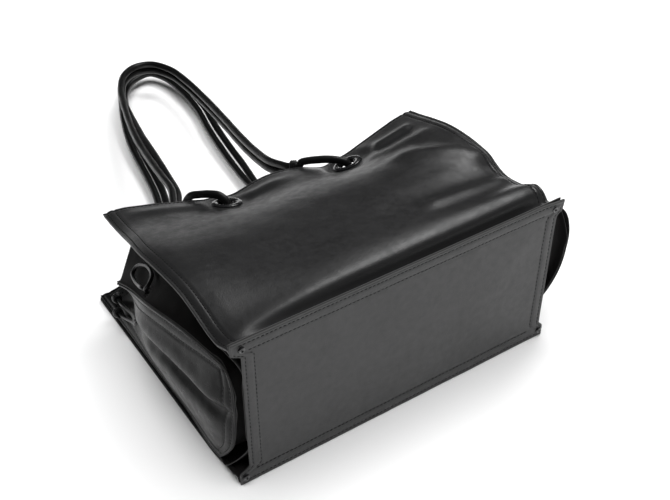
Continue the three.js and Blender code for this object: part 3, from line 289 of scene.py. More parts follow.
def centripetal(points, joined, step):
    """Points every `step` along the smooth curve through `points`, and the directions there."""
    p = np.asarray(points, float)
    n = len(p)
    spans = n if joined else n - 1
    found, heads = [], []
    for i in range(spans):
        p1, p2 = p[i], p[(i + 1) % n]
        p0 = p[(i - 1) % n] if joined or i > 0 else 2 * p[0] - p[1]
        p3 = p[(i + 2) % n] if joined or i + 2 < n else 2 * p[-1] - p[-2]
        d1 = max(np.linalg.norm(p2 - p1) ** 0.5, 1e-4)
        d0 = max(np.linalg.norm(p1 - p0) ** 0.5, 1e-4)
        d2 = max(np.linalg.norm(p3 - p2) ** 0.5, 1e-4)
        t1 = ((p1 - p0) / d0 - (p2 - p0) / (d0 + d1) + (p2 - p1) / d1) * d1
        t2 = ((p2 - p1) / d1 - (p3 - p1) / (d1 + d2) + (p3 - p2) / d2) * d1
        count = max(1, int(math.ceil(np.linalg.norm(p2 - p1) / step)))
        for k in range(count + (1 if not joined and i == spans - 1 else 0)):
            s = k / count
            a = -3 * p1 + 3 * p2 - 2 * t1 - t2
            b = 2 * p1 - 2 * p2 + t1 + t2
            found.append(p1 + t1 * s + a * s * s + b * s * s * s)
            heads.append(t1 + 2 * a * s + 3 * b * s * s)
    return np.array(found), unit(np.array(heads))


def turn_about(v, axis, angle):
    c, s = math.cos(angle), math.sin(angle)
    return v * c + np.cross(axis, v) * s + axis * np.dot(axis, v) * (1 - c)


def carried_sides(heads, joined, first=None):
    """A direction across the curve at each point, carried along it without twist."""
    start = heads[0]
    seed = np.array([0, 0, 1.0]) if abs(start[2]) < 0.9 else np.array([1.0, 0, 0])
    side = unit(np.cross(seed, start)) if first is None else unit(first - start * np.dot(first, start))
    sides = [side]
    count = len(heads)
    for i in range(1, count + (1 if joined else 0)):
        a, b = heads[i - 1], heads[i % count]
        axis = np.cross(a, b)
        sine = np.linalg.norm(axis)
        if sine > 1e-8:
            side = turn_about(side, axis / sine, math.atan2(sine, float(np.dot(a, b))))
        side = unit(side - heads[i % count] * np.dot(side, heads[i % count]))
        sides.append(side)
    if joined:
        up = np.cross(start, sides[0])
        drift = math.atan2(np.dot(sides[-1], up), np.dot(sides[-1], sides[0]))
        sides = [turn_about(sides[i], heads[i], -drift * i / count) for i in range(count)]
    return np.array(sides)


def soft_noise(points, size, seed):
    """Smooth noise from -1 to 1 at each point, with lumps of about `size` millimetres."""
    flat = points.reshape(-1, 3) / size
    shift = Vector((seed * 7.3, seed * 3.1, seed * 5.7))
    made = [noise.noise(Vector(p) + shift) for p in flat.tolist()]
    return np.array(made).reshape(points.shape[:-1])


# Shapes of the leather pieces
def base_edge(side, high):
    from_end = np.minimum(high, BASE_DEPTH - high)
    inset = TAB_INSET_LEFT if side < 0 else TAB_INSET_RIGHT
    taper = mix(-BASE_TAPER, BASE_TAPER, high / BASE_DEPTH)
    return side * (HALF + taper - inset * ease((from_end - SEAM_ALLOWANCE) / TAB_RUN))


def base_point(u, v):
    high = v * BASE_DEPTH
    return np.stack([mix(base_edge(-1, high), base_edge(1, high), u), 0 * high, high], -1)


def front_fold(u, v):
    rise = 0
    for fu, fv, tu, tv, height, wide in FRONT_FOLDS:
        du, dv = tu - fu, tv - fv
        pu, pv = u - fu, v - fv
        length = math.hypot(du, dv)
        share = (pu * du + pv * dv) / length**2
        off = np.abs(pu * dv - pv * du) / length
        ends = ease(share * 4 + 0.5) * ease((1 - share) * 4 + 0.5)
        rise = rise + height * ends * np.exp(-((off / wide) ** 2))
    return rise * FOLD_HEIGHT


def front_height(u, v):
    section = np.stack([read(FRONT_HEIGHTS, k, v) for k in range(1, 6)], -1)
    across = np.linspace(0, 1, 5)
    rim = read(FRONT_RIM, 1, u) - through(across, FRONT_HEIGHTS[-1, 1:], u)
    high = through(across, section, u) + rim * ease((v - 0.62) / 0.38)
    droop = ease(1 - np.minimum(u, 1 - u) / SEAM_ACROSS) * ease(v / 0.08)
    return high * BASE_DEPTH + front_fold(u, v) - FLANGE_DROOP * droop


def front_plain(u, v):
    left, right = (read(FRONT_EDGES, k, v) * HALF for k in (1, 2))
    rim = PANEL_REACH * mix(*FRONT_RIM_ALONG, u)
    return np.stack([mix(left, right, u), mix(PANEL_START + SEAM_RUN, rim, v), front_height(u, v)], -1)


def spot(function, u, v):
    """One point of a shape function."""
    return function(np.array([float(u)]), np.array([float(v)]))[0]


def front_seat(u, lean):
    """Middle and axis of an eyelet of the front panel."""
    v = 1 - EYELET_FROM_RIM / (PANEL_REACH * FRONT_RIM_ALONG[0])
    step = 0.02
    ahead = spot(front_plain, u, v + step) - spot(front_plain, u, v - step)
    aside = spot(front_plain, u + step, v) - spot(front_plain, u - step, v)
    tilt = math.tan(math.radians(lean))
    return spot(front_plain, u, v), unit(unit(np.cross(aside, ahead)) + np.array([0, tilt, 0]))


FRONT_SEATS = [front_seat(*eyelet) for eyelet in FRONT_EYELETS]


def seated(points):
    """The leather lies flat round each front eyelet."""
    points = points.copy()
    inner, outer = 0.62 * EYELET_OUTER, 0.95 * EYELET_OUTER
    for centre, axis in FRONT_SEATS:
        off = points - centre
        far = np.hypot(off[..., 0], off[..., 1])
        hold = 1 - ease((far - inner) / (outer - inner))
        points[..., 2] -= hold * (off @ axis) / axis[2]
    return points


def flange(seam, side, tip, place):
    """The part of a panel beyond its seam, bent up against the base."""
    y = mix(seam[..., 1], PANEL_START + PANEL_LEATHER, read(GROOVE, 1, place))
    high = mix(seam[..., 2], tip, read(GROOVE, 2, place))
    return np.stack([mix(seam[..., 0], side, place), y, high], -1)


def front_point(u, v):
    side = mix(base_edge(-1, BASE_DEPTH), base_edge(1, BASE_DEPTH), u)
    bent = flange(front_plain(u, 0 * v), side, BASE_DEPTH - FLANGE_LIP, np.maximum(-v, 0))
    return np.where((v >= 0)[..., None], seated(front_plain(u, np.maximum(v, 0))), bent)


def back_height(u, v):
    lift = read(BACK_HEIGHTS, 2, v) * read(BACK_LIFT, 1, u)
    return np.maximum(read(BACK_HEIGHTS, 1, v) + lift, 0) * BASE_DEPTH


def back_plain(u, v):
    rim = PANEL_REACH * mix(*BACK_RIM_ALONG, u)
    left = mix(-1, BACK_RIM_SIDE[0], v) * HALF
    right = mix(1, BACK_RIM_SIDE[1], v) * HALF
    return np.stack([mix(left, right, u), mix(PANEL_START + SEAM_RUN, rim, v), back_height(u, v)], -1)


def back_point(u, v):
    side = mix(base_edge(-1, 0.0), base_edge(1, 0.0), u)
    bent = flange(back_plain(u, 0 * v), side, FLANGE_LIP, np.maximum(-v, 0))
    return np.where((v >= 0)[..., None], back_plain(u, np.maximum(v, 0)), bent)


def gusset_point(side, u, v):
    rows = LEFT_GUSSET if side < 0 else RIGHT_GUSSET
    fullness = LEFT_FULLNESS if side < 0 else RIGHT_FULLNESS
    belly = [read(fullness, k, v) for k in range(1, 7)]
    profile = np.stack([0 * belly[0], *belly, 0 * belly[0]], -1)
    full = through(FULLNESS_PLACES, profile, u) * GUSSET_FULLNESS
    floor_along, floor_out, ridge_along, ridge_out, high = (read(rows, k, v) for k in range(1, 6))
    out = mix(floor_out, ridge_out, u) * HALF
    hem = read(GUSSET_HEM, 1, u) * SEAM_ALLOWANCE
    corner = mix(rows[0, 1], rows[0, 3], u) * PANEL_REACH
    y = mix(floor_along, ridge_along, u) * PANEL_REACH + (hem - corner) * (1 - ease(v * 2.4))
    start = PANEL_START + SEAM_RUN
    place = (floor_along * PANEL_REACH - start) / (PANEL_REACH - start)
    back_top = read(BACK_HEIGHTS, 1, place) * BASE_DEPTH + PANEL_LEATHER
    lift = BELLOWS_LEATHER + 4 * FIT + GUSSET_LEATHER * ease((v - 0.5) / 0.3)
    z = mix(back_top + lift, high * BASE_DEPTH, u)
    return np.stack([side * (out + full), y, z], -1)


def grid_of(point, across, along):
    u, v = np.meshgrid(np.asarray(across, float), np.asarray(along, float))
    return point(u, v)


def bellows_section(side, bag_edge, bag_seam, edge, seam):
    gap = np.linalg.norm(seam - bag_seam)
    depth = math.sqrt(max(BELLOWS_HALF**2 - (gap / 2) ** 2, SEAM_ALLOWANCE**2))
    toward = unit(seam - bag_seam)
    into = np.array([-side, 0.0, 0.0])
    valley = (bag_seam + seam) / 2 + into * depth
    start = valley - into * BELLOWS_TIP - toward * BELLOWS_TIP
    return [bag_edge, bag_seam, start, valley, start + toward * 2 * BELLOWS_TIP, seam, edge]


def bellows_rows(side):
    """The folded strip's sections, from the front rim round the base to the back rim."""
    spread = np.linspace(SEAM_ACROSS, 1 - SEAM_ACROSS, 19)
    front = grid_of(front_point, [0, *spread, 1], [*FLANGE_ROWS, *ROWS])
    back = grid_of(back_point, BACK_ACROSS, [*FLANGE_ROWS, *ROWS])
    gusset = grid_of(lambda u, v: gusset_point(side, u, v), GUSSET_ACROSS,
                     [0, GUSSET_HEM_SEAM, *ROWS[1:]])
    front_up, back_up, gusset_up = grid_normals(front), grid_normals(back), grid_normals(gusset)
    edge, seam = (0, 1) if side < 0 else (-1, -2)

    def held(row, column):
        return gusset[row, column] + gusset_up[row, column] * side * (GUSSET_LEATHER + PLY)

    def along_panel(panel, up, i, gusset_edge, gusset_seam):
        row = len(FLANGE_ROWS) + i
        bag = [panel[row, k] + up[row, k] * (PANEL_LEATHER + PLY) for k in (edge, seam)]
        outer = held(0 if i == 0 else i + 1, gusset_edge)
        return bellows_section(side, *bag, outer, held(i + 1, gusset_seam))

    count = len(ROWS)
    sections = [along_panel(front, -front_up, i, -1, -2) for i in reversed(range(count))]
    last = len(GUSSET_ACROSS) - 1
    for k in range(last - 2, 1, -1):
        high = mix(BELLOWS_FOOT, BASE_DEPTH - BELLOWS_FOOT, (k - 1) / (last - 2))
        bag_edge = np.array([base_edge(side, high), PANEL_START + BELLOWS_LEATHER / 2, high])
        bag_seam = bag_edge - np.array([side * SEAM_ALLOWANCE, 0, 0])
        sections.append(bellows_section(side, bag_edge, bag_seam, held(0, k), held(1, k)))
    sections += [along_panel(back, back_up, i, 0, 1) for i in range(count)]
    return np.array(sections)


def gusset_spot(side, u, v):
    """A place on a gusset and the direction away from its outer face."""
    step = 0.01

    def at(across, along):
        return spot(lambda p, q: gusset_point(side, p, q), across, along)

    off = unit(np.cross(at(u + step, v) - at(u - step, v), at(u, v + step) - at(u, v - step)) * -side)
    return at(u, v), off


def ply_spot(side, share, v):
    """A place on the inner ply of the bellows and the direction away from it."""
    def ends(at):
        bag = spot(front_point, SEAM_ACROSS if side < 0 else 1 - SEAM_ACROSS, at)
        bag = bag - np.array([0, 0, PANEL_LEATHER + PLY])
        place, off = gusset_spot(side, 1 - GUSSET_SEAM, at)
        place = place - off * (GUSSET_LEATHER + PLY)
        section = bellows_section(side, bag, bag, place, place)
        return section[5], section[4]

    seam, end = ends(v)
    beyond = ends(v + 0.01)[0]
    off = unit(np.cross(end - seam, beyond - seam) * -side)
    return mix(seam, end, share), off


# Meshes
def make_object(name, verts, faces, material, smooth=True, marks=None):
    """A mesh object from points in millimetres measured from the base."""
    verts = (np.asarray(verts, float) - np.array([0, REST_CENTRE, 0])) * 0.001
    mesh = bpy.data.meshes.new(name)
    mesh.from_pydata(verts.tolist(), [], faces if isinstance(faces, list) else faces.tolist())
    mesh.materials.append(material)
    if smooth:
        mesh.polygons.foreach_set("use_smooth", [True] * len(mesh.polygons))
    for mark, values in (marks or {}).items():
        layer = mesh.attributes.new(mark, "FLOAT", "POINT")
        layer.data.foreach_set("value", np.asarray(values, np.float32))
    mesh.validate()
    made = bpy.data.objects.new(name, mesh)
    bpy.context.scene.collection.objects.link(made)
    return made


def dress(piece, slot, *nodes):
    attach(piece, "root")
    if nodes:
        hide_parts(*nodes)
    return piece


def add_piece(name, shape, finish, slot, node):
    """A piece made of verts and faces, which stands for one of the solids."""
    return dress(make_object(name, *shape, finish_of(finish)), slot, node)


def places(length, coarse, fine=0.9, band=13.5):
    """Shares along a side, closer together in the seam bands at both ends."""
    edge = np.arange(0, band, fine)
    count = max(3, int(round((length - 2 * band) / coarse)) + 1)
    middle = np.linspace(band, length - band, count)
    return np.concatenate([edge, middle, length - edge[::-1]]) / length


def edge_reach(grid):
    """Distance in millimetres of each point from the first and last row and column."""
    def run(g, axis):
        step = np.linalg.norm(np.diff(g, axis=axis), axis=-1)
        zero = np.zeros_like(np.take(step, [0], axis=axis))
        return np.concatenate([zero, np.cumsum(step, axis=axis)], axis=axis)

    rows, columns = run(grid, 0), run(grid, 1)
    return rows, rows[-1:] - rows, columns, columns[:, -1:] - columns


def leather_sheet(name, grid, thickness, material, flip=False, holes=(), bulge=0.35):
    """A closed sheet of leather with rounded edges over a grid of points on its outer face."""
    up = grid_normals(grid) * (-1 if flip else 1)
    rows, columns = grid.shape[:2]
    out = np.zeros_like(grid)
    out[0] += unit(grid[0] - grid[1])
    out[-1] += unit(grid[-1] - grid[-2])
    out[:, 0] += unit(grid[:, 0] - grid[:, 1])
    out[:, -1] += unit(grid[:, -1] - grid[:, -2])
    top = grid - out * bulge
    bottom = top - up * thickness
    middle = (top + bottom) / 2 + out * bulge * 1.6
    cells = np.ones((rows - 1, columns - 1), bool)
    centre = (grid[1:, 1:] + grid[:-1, :-1] + grid[1:, :-1] + grid[:-1, 1:]) / 4
    for place, axis, radius in holes:
        off = centre - place
        far = np.linalg.norm(off - (off @ axis)[..., None] * axis, axis=-1)
        cells &= ~((far < radius) & (np.abs(off @ axis) < 12))
    n = rows * columns
    index = np.arange(n).reshape(rows, columns)
    a, b = index[:-1, :-1][cells], index[:-1, 1:][cells]
    c, d = index[1:, 1:][cells], index[1:, :-1][cells]
    faces = [np.stack([a, b, c, d], 1), np.stack([a, d, c, b], 1) + n]
    padded = np.pad(cells, 1)
    sides = (
        (~padded[:-2, 1:-1] & cells, index[:-1, 1:], index[:-1, :-1]),
        (~padded[2:, 1:-1] & cells, index[1:, :-1], index[1:, 1:]),
        (~padded[1:-1, :-2] & cells, index[:-1, :-1], index[1:, :-1]),
        (~padded[1:-1, 2:] & cells, index[1:, 1:], index[:-1, 1:]),
    )
    for open_side, first, second in sides:
        s, t = first[open_side], second[open_side]
        faces.append(np.stack([s, t, t + 2 * n, s + 2 * n], 1))
        faces.append(np.stack([s + 2 * n, t + 2 * n, t + n, s + n], 1))
    faces = np.concatenate(faces)
    if flip:
        faces = faces[:, ::-1]
    verts = np.concatenate([top.reshape(-1, 3), bottom.reshape(-1, 3), middle.reshape(-1, 3)])
    edge = np.concatenate([np.zeros(2 * n), np.ones(n)])
    inside = np.concatenate([np.zeros(n), np.ones(n), np.full(n, 0.5)])
    used = np.unique(faces)
    again = np.zeros(len(verts), int)
    again[used] = np.arange(len(used))
    marks = {"cut_edge": edge[used], "inside": inside[used]}
    return make_object(name, verts[used], again[faces], material, marks=marks)


def tube(points, heads, sides, radius, count, joined, groove=0.0):
    """Verts and faces of a round cord; a groove may run along it where `sides` point."""
    ups = np.cross(heads, sides)
    angles = np.linspace(0, 2 * math.pi, count, endpoint=False)
    near = np.abs((angles + math.pi) % (2 * math.pi) - math.pi)
    reach = np.ones((len(points), 1)) * (1 - groove * np.exp(-((near / 0.22) ** 2)))[None]
    reach = reach * np.asarray(radius, float).reshape(-1, 1)
    ring = np.cos(angles)[None, :, None] * sides[:, None] + np.sin(angles)[None, :, None] * ups[:, None]
    verts = points[:, None] + ring * reach[..., None]
    n = len(points)
    rings = n if joined else n - 1
    i = np.arange(rings)[:, None]
    k = np.arange(count)[None]
    nk, ni = (k + 1) % count, (i + 1) % n
    corners = [i * count + k, i * count + nk, ni * count + nk, ni * count + k]
    faces = np.stack(corners, -1).reshape(-1, 4).tolist()
    if not joined:
        faces.append(list(range(count))[::-1])
        faces.append([(n - 1) * count + k for k in range(count)])
    return verts.reshape(-1, 3), faces


def gather(parts):
    """Joins lists of verts and faces into one."""
    verts, faces, start = [], [], 0
    for v, f in parts:
        verts.append(v)
        faces += [[x + start for x in face] for face in f]
        start += len(v)
    return np.concatenate(verts), faces


def turned(profile, count, centre, axis):
    """A ring turned about an axis from (radius, height) points that close on themselves."""
    axis = unit(np.asarray(axis, float))
    seed = np.array([1.0, 0, 0]) if abs(axis[0]) < 0.8 else np.array([0, 1.0, 0])
    a = unit(np.cross(seed, axis))
    b = np.cross(axis, a)
    angles = np.linspace(0, 2 * math.pi, count, endpoint=False)
    profile = np.asarray(profile, float)
    ring = np.cos(angles)[:, None, None] * a + np.sin(angles)[:, None, None] * b
    verts = centre + ring * profile[None, :, :1] + profile[None, :, 1:] * axis
    m = len(profile)
    faces = []
    for i in range(count):
        j = (i + 1) % count
        for k in range(m):
            h = (k + 1) % m
            faces.append([i * m + k, j * m + k, j * m + h, i * m + h])
    return verts.reshape(-1, 3), faces


def line_at(grid, reach, distance, by_row):
    """The line on a grid that keeps a distance from one of its sides."""
    g, r = (grid, reach) if by_row else (grid.transpose(1, 0, 2), reach.T)
    line = []
    for points, far in zip(g, r):
        order = np.argsort(far)
        line.append([np.interp(distance, far[order], points[order, k]) for k in range(3)])
    return np.array(line)


def stitch_run(line, normals, sizes):
    """Verts and faces of a row of stitches along a line that lies on the leather."""
    step = np.linalg.norm(np.diff(line, axis=0), axis=1)
    run = np.concatenate([[0], np.cumsum(step)])
    pitch = sizes.stitch_pitch * MILLIMETRES
    count = int((run[-1] - 2 * STITCH_END_GAP) / pitch)
    if count < 1:
        return np.zeros((0, 3)), []
    centres = STITCH_END_GAP + (np.arange(count) + 0.5) * pitch

    def at(distances, values):
        return np.stack([np.interp(distances, run, values[:, k]) for k in range(3)], -1)

    place = at(centres, line)
    head = unit(at(centres + 0.8, line) - at(centres - 0.8, line))
    up = unit(at(centres, normals))
    side = unit(np.cross(up, head))
    head = unit(head + side * 0.1)
    side = unit(np.cross(up, head))
    length, width = sizes.stitch_length * MILLIMETRES, sizes.thread_width * MILLIMETRES
    along = np.array([-0.5, -0.36, 0, 0.36, 0.5]) * length
    swell = np.array([0.35, 0.85, 1.0, 0.85, 0.35]) * width / 2
    drop = np.array([-0.34, -0.06, 0.04, -0.06, -0.34]) * width
    angles = np.linspace(0, 2 * math.pi, STITCH_SIDES, endpoint=False)
    aside = np.cos(angles)[None, None] * swell[None, :, None]
    above = np.sin(angles)[None, None] * swell[None, :, None] + drop[None, :, None]
    verts = (
        place[:, None, None]
        + head[:, None, None] * along[None, :, None, None]
        + side[:, None, None] * aside[..., None]
        + up[:, None, None] * above[..., None]
    ).reshape(-1, 3)
    faces = []
    last = (len(along) - 1) * STITCH_SIDES
    for start in range(0, count * len(along) * STITCH_SIDES, len(along) * STITCH_SIDES):
        for ring in range(start, start + last, STITCH_SIDES):
            for k in range(STITCH_SIDES):
                m = (k + 1) % STITCH_SIDES
                faces.append([ring + k, ring + m, ring + STITCH_SIDES + m, ring + STITCH_SIDES + k])
        faces.append([start + k for k in reversed(range(STITCH_SIDES))])
        faces.append([start + last + k for k in range(STITCH_SIDES)])
    return verts, faces


def stitches(name, runs, sizes, slot):
    """Rows of stitches, joined to one mesh, along lines with the direction out of the leather."""
    parts = [stitch_run(line, normals, sizes) for line, normals in runs]
    parts = [p for p in parts if len(p[1])]
    return dress(make_object(name, *gather(parts), finish_of("thread")), slot)


def seam_relief(far, sizes, inner=INNER_STITCH, outer=OUTER_STITCH, puff=True):
    """How the leather sinks at its stitch lines and swells beyond them, by distance from the edge."""
    depth = sizes.seam_depth * MILLIMETRES
    sink = np.exp(-(((far - inner) / 1.5) ** 2)) * (1 if inner else 0)
    sink = sink + 0.7 * np.exp(-(((far - outer) / 1.1) ** 2)) * (1 if outer else 0)
    swell = ease((far - inner) / 14) * sizes.puff_height * MILLIMETRES if puff else 0
    return swell - depth * sink


# Finishes
def shaded(colour, share=1.0):
    return (*[c * share for c in colour], 1)


def new_material(name):
    material = bpy.data.materials.new(name)
    material.use_nodes = True
    return material, material.node_tree, material.node_tree.nodes["Principled BSDF"]


def feed(tree, node, inputs):
    """Sets the inputs of a node, each to a value or to the output that feeds it."""
    for name, value in inputs.items():
        if isinstance(value, bpy.types.NodeSocket):
            tree.links.new(value, node.inputs[name])
        else:
            node.inputs[name].default_value = value


def add_node(tree, kind, output, inputs, **settings):
    """Adds a node and gives one of its outputs."""
    node = tree.nodes.new(f"ShaderNode{kind}")
    for name, value in settings.items():
        setattr(node, name, value)
    feed(tree, node, inputs)
    return node.outputs[output]


def object_place(tree):
    return add_node(tree, "TexCoord", "Object", {})


def noise_texture(tree, place, scale, detail=2.0, roughness=0.5):
    inputs = {"Vector": place, "Scale": scale, "Detail": detail, "Roughness": roughness}
    return add_node(tree, "TexNoise", "Fac", inputs)


def bump(tree, height, strength, distance, **more):
    inputs = {"Strength": strength, "Distance": distance, "Height": height, **more}
    return add_node(tree, "Bump", "Normal", inputs)


def blend(tree, share, first, second, data_type="RGBA"):
    inputs = {"Factor": share, "A": first, "B": second}
    return add_node(tree, "Mix", "Result", inputs, data_type=data_type)


def spread_range(tree, value, low, high, to_low, to_high, **settings):
    inputs = {"Value": value, "From Min": low, "From Max": high, "To Min": to_low, "To Max": to_high}
    return add_node(tree, "MapRange", "Result", inputs, **settings)


def leather(name, colour, looks, roughness, grain=1.0, shine=1.0):
    """Smooth dyed leather: fine pores, soft blotches, sheen, cut edges in a lighter colour that is
    partly edge paint and partly a painted highlight, and a napped inside.
    """
    material, tree, shader = new_material(name)
    place = object_place(tree)
    scale = looks.grain_scale * grain
    inputs = {"Vector": place, "Scale": scale, "Randomness": 1.0}
    cells = add_node(tree, "TexVoronoi", "Distance", inputs)
    pores = noise_texture(tree, place, scale * 2.3, 3.0)
    creases = noise_texture(tree, place, 140.0, 6.0, 0.62)
    blotches = noise_texture(tree, place, 22.0, 5.0)
    heights = add_node(tree, "Math", 0, {0: pores, 1: 0.5, 2: cells}, operation="MULTIPLY_ADD")
    fine = bump(tree, heights, looks.grain_depth, 0.00025)
    tint = blend(tree, blotches, shaded(colour, 0.75), shaded(colour, 1.25))
    cut_edge = add_node(tree, "Attribute", "Fac", {}, attribute_name="cut_edge")
    within = add_node(tree, "Attribute", "Fac", {}, attribute_name="inside")
    # Cut edges get a lighter colour: partly edge paint, partly a painted highlight where the edge faces
    # catch light.
    edge_paint_and_highlight = blend(tree, cut_edge, tint, shaded(looks.edge_paint_and_highlight_colour))
    gloss = spread_range(tree, creases, 0.3, 0.7, roughness - 0.07, roughness + 0.08)
    feed(tree, shader, {
        "Base Color": blend(tree, within, edge_paint_and_highlight, shaded(looks.inside_colour)),
        "Normal": bump(tree, creases, 0.3, 0.0006, Normal=fine),
        "Roughness": blend(tree, within, gloss, 0.85, "FLOAT"),
        "Specular IOR Level": looks.leather_shine * shine,
        "Sheen Weight": 0.012,
        "Sheen Roughness": 0.5,
    })
    return material


def thread_finish(colour):
    """Waxed thread with fine fibres."""
    material, tree, shader = new_material("waxed_thread")
    fibres = noise_texture(tree, object_place(tree), 6000.0)
    feed(tree, shader, {
        "Base Color": blend(tree, fibres, shaded(colour, 0.6), shaded(colour, 1.4)),
        "Normal": bump(tree, fibres, 0.5, 0.0001),
        "Roughness": 0.62,
    })
    return material


def black_metal(colour):
    """Gloss black coating, rubbed duller in places."""
    material, tree, shader = new_material("gloss_black_metal")
    rub = noise_texture(tree, object_place(tree), 320.0, 5.0)
    feed(tree, shader, {
        "Base Color": blend(tree, rub, shaded(colour, 0.8), shaded(colour, 1.6)),
        "Roughness": spread_range(tree, rub, 0.35, 0.75, 0.16, 0.36),
        "Metallic": 0.0,
        "Coat Weight": 0.6,
        "Coat Roughness": 0.12,
    })
    return material


def floor_finish(colour):
    """Pale floor with faint clouds."""
    material, tree, shader = new_material("pale_floor")
    cloud = noise_texture(tree, object_place(tree), 1.5)
    feed(tree, shader, {
        "Base Color": blend(tree, cloud, shaded(colour, 0.985), shaded(colour)),
        "Roughness": 0.75,
        "Specular IOR Level": 0.2,
    })
    return material


# Leathers: name of the finish, roughness, fineness of the grain, shine
LEATHERS = {
    "panel": ("panel_leather", 0.38, 1.0, 1.0),
    "base": ("base_leather", 0.5, 1.15, 1.0),
    "gusset": ("gusset_leather", 0.31, 1.0, 0.28),
    "bellows": ("bellows_leather", 0.5, 0.9, 0.5),
    "cord": ("rolled_leather", 0.36, 1.3, 0.8),
}
OTHER_FINISHES = {"thread": thread_finish, "metal": black_metal, "floor": floor_finish}
MADE_FINISHES = {}


def finish_of(name):
    """The named finish, made once."""
    looks = bpy.context.scene.tote_looks
    if name not in MADE_FINISHES:
        colour = getattr(looks, f"{name}_colour")
        if name in LEATHERS:
            called, *numbers = LEATHERS[name]
            MADE_FINISHES[name] = leather(called, colour, looks, *numbers)
        else:
            MADE_FINISHES[name] = OTHER_FINISHES[name](colour)
    return MADE_FINISHES[name]


# Sizes and colours that a user may change
def length_property(name, description, default, low=0.0):
    return bpy.props.FloatProperty(
        name=name, description=description, default=default, min=low, subtype="DISTANCE", unit="LENGTH")


def share_property(name, description, default, high=1.0):
    return bpy.props.FloatProperty(
        name=name, description=description, default=default, min=0, max=high, subtype="FACTOR")


def colour_property(name, description, default):
    return bpy.props.FloatVectorProperty(
        name=name, description=description, default=default, min=0, max=1, subtype="COLOR")


class ToteSizes(bpy.types.PropertyGroup):
    stitch_length: length_property("Stitch length", "Length of one stitch", 0.0031, 0.001)
    stitch_pitch: length_property("Stitch pitch", "From one stitch to the next", 0.0040, 0.0015)
    thread_width: length_property("Thread width", "Width of the thread", 0.0010, 0.0002)
    seam_depth: length_property("Seam depth", "How far the leather sinks at a stitch line", 0.0007)
    puff_height: length_property("Puff height", "How far a panel swells inside its seams", 0.0009)
    ripple_height: length_property("Ripple height", "Height of the soft ripples in the panels", 0.0011)
    groove_share: share_property(
        "Cord groove", "Depth of the seam groove along a cord, as a share of its radius", 0.17, 0.4)


class ToteLooks(bpy.types.PropertyGroup):
    panel_colour: colour_property("Panels", "Colour of both panels", (0.012, 0.012, 0.0123))
    # Painted light: the base's black leather is given a lighter colour than the panels, so that it
    # reads brighter where it catches more light.
    base_colour: colour_property("Base", "Colour of the base panel", (0.03, 0.03, 0.0305))
    # Painted shade: the gussets' black leather is given a darker colour than the panels, so that they
    # read darker where they lie in shade.
    gusset_colour: colour_property("Gussets", "Colour of the gussets", (0.0035, 0.0035, 0.0036))
    bellows_colour: colour_property("Bellows", "Colour of the bellows", (0.0035, 0.0035, 0.0036))
    cord_colour: colour_property("Cords", "Colour of the handles and ties", (0.004, 0.004, 0.0041))
    # Lighter than the leather: partly edge paint, partly a painted highlight on the cut edges.
    edge_paint_and_highlight_colour: colour_property("Cut edges", "Colour of the painted edges", (0.085, 0.085, 0.085))
    inside_colour: colour_property("Inside", "Colour of the napped inner side", (0.007, 0.0065, 0.0065))
    thread_colour: colour_property("Thread", "Colour of the thread", (0.0035, 0.0035, 0.0036))
    metal_colour: colour_property("Eyelets", "Colour of the eyelets and rivets", (0.008, 0.008, 0.0085))
    floor_colour: colour_property("Floor", "Colour of the floor", (0.93, 0.93, 0.93))
    grain_scale: bpy.props.FloatProperty(
        name="Grain scale", description="Pores of the leather in a metre", default=1150, min=100)
    grain_depth: share_property("Grain depth", "Strength of the leather's grain", 0.22)
    leather_shine: share_property("Leather shine", "Strength of the leather's reflections", 0.5)


class ToteStage(bpy.types.PropertyGroup):
    key_power: bpy.props.FloatProperty(
        name="Key light", description="Power of the soft light from the right", default=9, min=0,
        unit="POWER")
    overhead_power: bpy.props.FloatProperty(
        name="Overhead light", description="Strength of the broad light from above", default=3.7, min=0)
    fill_power: bpy.props.FloatProperty(
        name="Fill light", description="Power of the light from the front", default=3, min=0,
        unit="POWER")
    room_light: bpy.props.FloatProperty(
        name="Room light", description="Strength of the even light from all sides", default=0.28, min=0)
    lens: bpy.props.FloatProperty(
        name="Lens", description="Focal length of the camera", default=69.85, min=10, unit="CAMERA")


# Operators
def add_camera(scene, lens):
    yaw, pitch, roll = CAMERA_TURN
    ahead = Vector((math.sin(yaw) * math.cos(pitch), math.cos(yaw) * math.cos(pitch), -math.sin(pitch)))
    right = Vector((math.cos(yaw), -math.sin(yaw), 0))
    up = right.cross(ahead)
    level_right = right * math.cos(roll) + up * math.sin(roll)
    level_up = up * math.cos(roll) - right * math.sin(roll)
    data = bpy.data.cameras.new("camera")
    data.lens = lens
    data.sensor_fit = "HORIZONTAL"
    data.sensor_width = 36.0
    data.clip_start, data.clip_end = 0.05, 60.0
    camera = bpy.data.objects.new("camera", data)
    turn = Matrix((level_right, level_up, -ahead)).transposed().to_4x4()
    camera.matrix_world = Matrix.Translation(CAMERA_PLACE) @ turn
    scene.collection.objects.link(camera)
    scene.camera = camera


def add_light(scene, name, kind, power):
    light = bpy.data.lights.new(name, kind)
    light.energy = power
    lamp = bpy.data.objects.new(name, light)
    scene.collection.objects.link(lamp)
    return light, lamp


